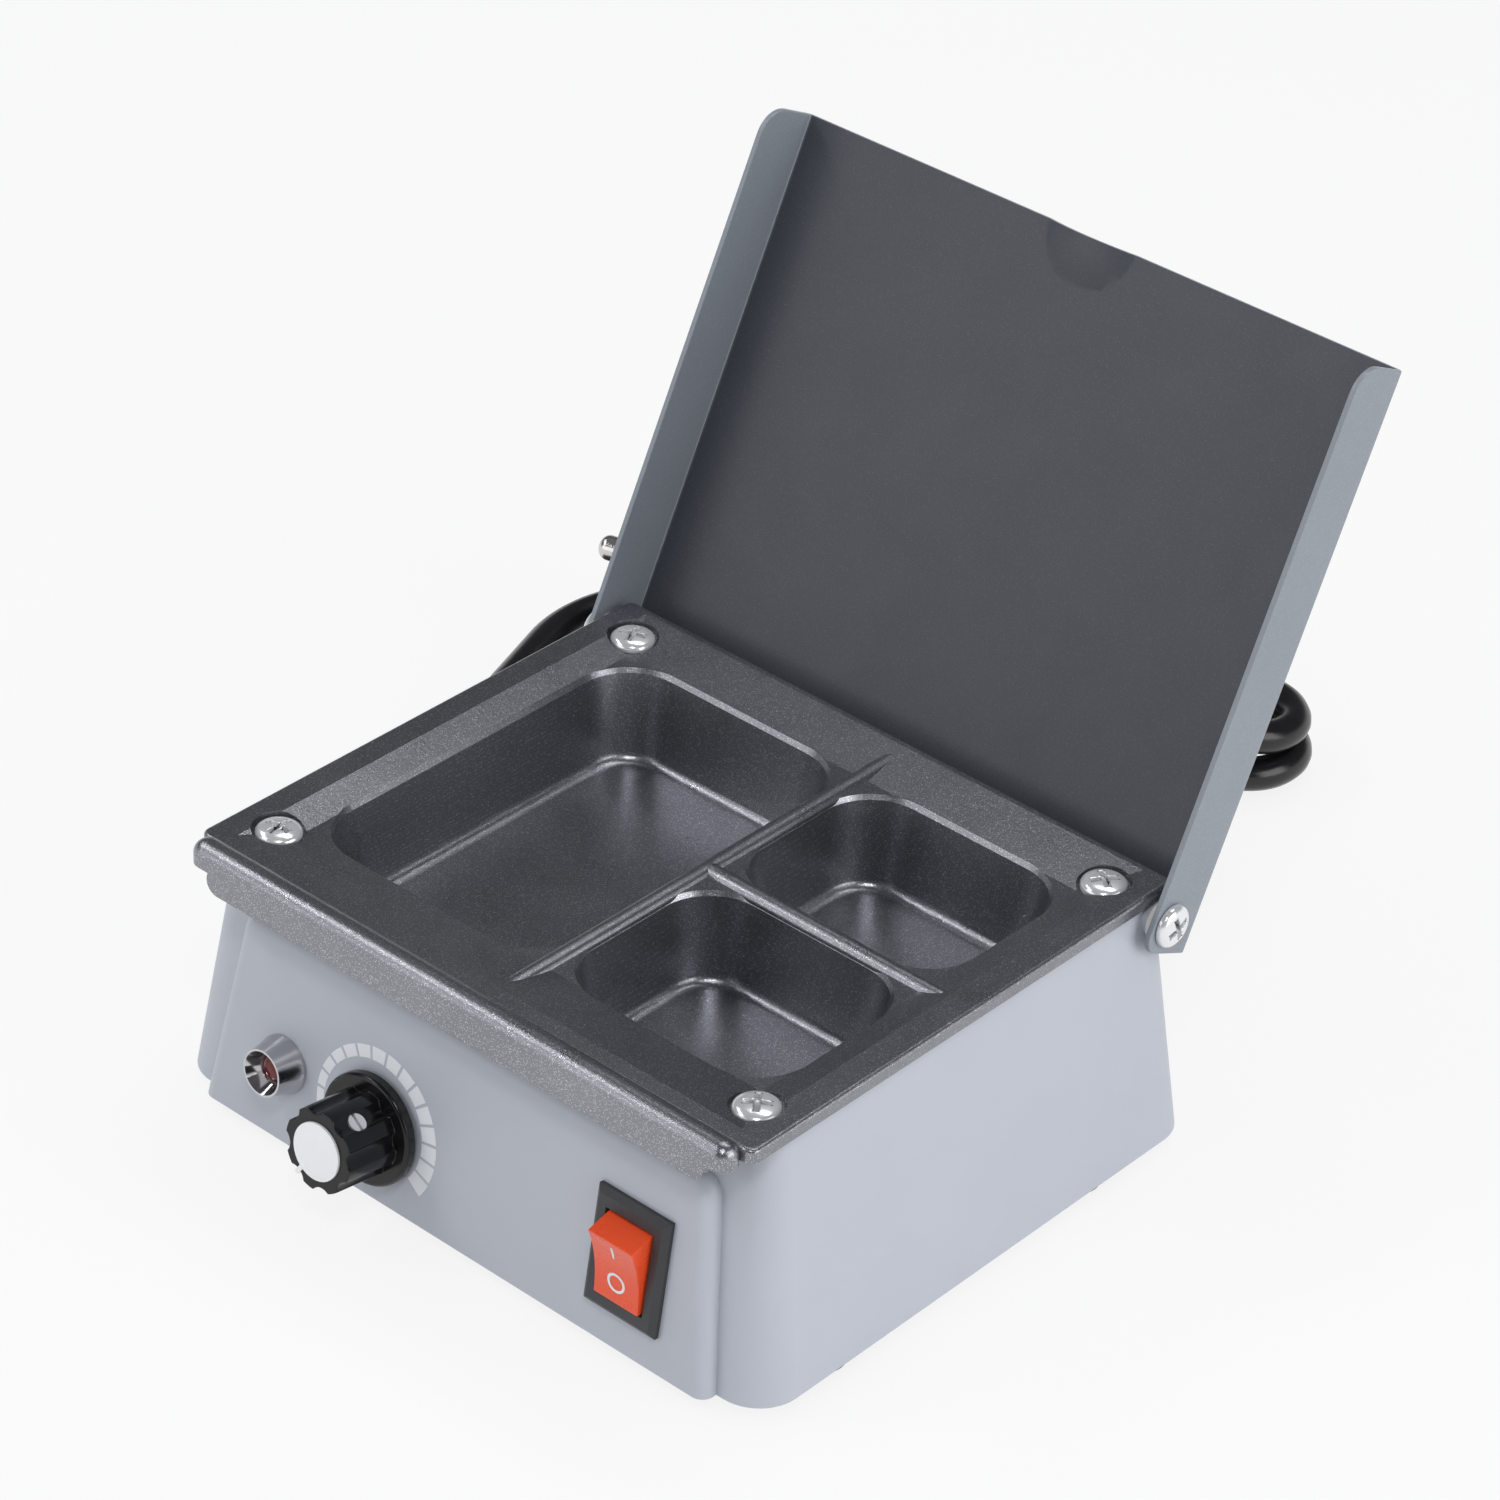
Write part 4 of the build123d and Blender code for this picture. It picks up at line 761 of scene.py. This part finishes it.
def shown_rays(tree):
    """Socket that is 1 for rays that show the background: seen, mirrored or passed through."""
    rays = place(tree, "ShaderNodeLightPath")
    first = place(tree, "ShaderNodeMath", operation="MAXIMUM")
    both = place(tree, "ShaderNodeMath", operation="MAXIMUM")
    tree.links.new(rays.outputs["Is Camera Ray"], first.inputs[0])
    tree.links.new(rays.outputs["Is Glossy Ray"], first.inputs[1])
    tree.links.new(first.outputs["Value"], both.inputs[0])
    tree.links.new(rays.outputs["Is Transmission Ray"], both.inputs[1])
    return both.outputs["Value"]


def white_floor():
    """Plain pale floor that keeps the object's shadow and shows nearly white to the camera."""
    bpy.ops.object.select_all(action="DESELECT")
    bpy.ops.mesh.primitive_plane_add(size=6.0, location=(0, 0, 0))
    floor = bpy.context.object
    floor.name = "floor"
    paint = bpy.data.materials.new("floor_white")
    paint.use_nodes = True
    tree = paint.node_tree
    shader = tree.nodes["Principled BSDF"]
    shader.inputs["Base Color"].default_value = (0.86, 0.86, 0.86, 1)
    shader.inputs["Roughness"].default_value = 0.9
    glow = place(tree, "ShaderNodeEmission", Color=(0.975, 0.975, 0.98, 1), Strength=1.0)
    share = place(tree, "ShaderNodeMath", operation="MULTIPLY")
    share.inputs[1].default_value = FLOOR_SHOWN_WHITE
    mix = place(tree, "ShaderNodeMixShader")
    tree.links.new(shown_rays(tree), share.inputs[0])
    tree.links.new(share.outputs["Value"], mix.inputs["Fac"])
    tree.links.new(shader.outputs["BSDF"], mix.inputs[1])
    tree.links.new(glow.outputs["Emission"], mix.inputs[2])
    tree.links.new(mix.outputs["Shader"], tree.nodes["Material Output"].inputs["Surface"])
    floor.data.materials.append(paint)


def room():
    """Soft even light, and for mirrored rays white round the horizon and dark grey overhead."""
    world = bpy.data.worlds.new("studio")
    bpy.context.scene.world = world
    world.use_nodes = True
    tree = world.node_tree
    even = tree.nodes["Background"]
    even.inputs["Color"].default_value = (0.95, 0.97, 1.0, 1)
    even.inputs["Strength"].default_value = WORLD_LEVEL
    spot = place(tree, "ShaderNodeTexCoord")
    parts = place(tree, "ShaderNodeSeparateXYZ")
    rise = place(tree, "ShaderNodeMapRange", From_Min=0.03, From_Max=0.24)
    fade = place(tree, "ShaderNodeMix", data_type="RGBA")
    fade.inputs["A"].default_value = HORIZON_WHITE
    fade.inputs["B"].default_value = OVERHEAD_GREY
    shown = place(tree, "ShaderNodeBackground", Strength=1.0)
    mix = place(tree, "ShaderNodeMixShader")
    tree.links.new(spot.outputs["Generated"], parts.inputs["Vector"])
    tree.links.new(parts.outputs["Z"], rise.inputs["Value"])
    tree.links.new(rise.outputs["Result"], fade.inputs["Factor"])
    tree.links.new(fade.outputs["Result"], shown.inputs["Color"])
    tree.links.new(shown_rays(tree), mix.inputs["Fac"])
    tree.links.new(even.outputs["Background"], mix.inputs[1])
    tree.links.new(shown.outputs["Background"], mix.inputs[2])
    tree.links.new(mix.outputs["Shader"], tree.nodes["World Output"].inputs["Surface"])


def soft_box(name, spot, width, height, power):
    """Rectangular lamp at spot that faces the heater."""
    lamp = bpy.data.lights.new(name, "AREA")
    lamp.shape = "RECTANGLE"
    lamp.size, lamp.size_y = width, height
    lamp.energy = power
    box = bpy.data.objects.new(name, lamp)
    bpy.context.scene.collection.objects.link(box)
    box.location = spot
    box.rotation_euler = (Vector(LAMPS_AIM) - Vector(spot)).to_track_quat("-Z", "Y").to_euler()


def photo_camera():
    """The camera, placed and turned as fitted to the photograph."""
    camera = bpy.data.objects.new("camera", bpy.data.cameras.new("camera"))
    bpy.context.scene.collection.objects.link(camera)
    turn = Matrix((CAMERA_RIGHT, CAMERA_UP, -CAMERA_AHEAD)).transposed().to_4x4()
    camera.matrix_world = Matrix.Translation(CAMERA_SPOT) @ turn
    camera.data.lens, camera.data.sensor_width = CAMERA_LENS, CAMERA_SENSOR
    camera.data.clip_start, camera.data.clip_end = 0.05, 20.0
    bpy.context.scene.camera = camera


bpy.context.scene.view_settings.view_transform = "Standard"
white_floor()
room()
for box in SOFT_BOXES:
    soft_box(*box)
photo_camera()
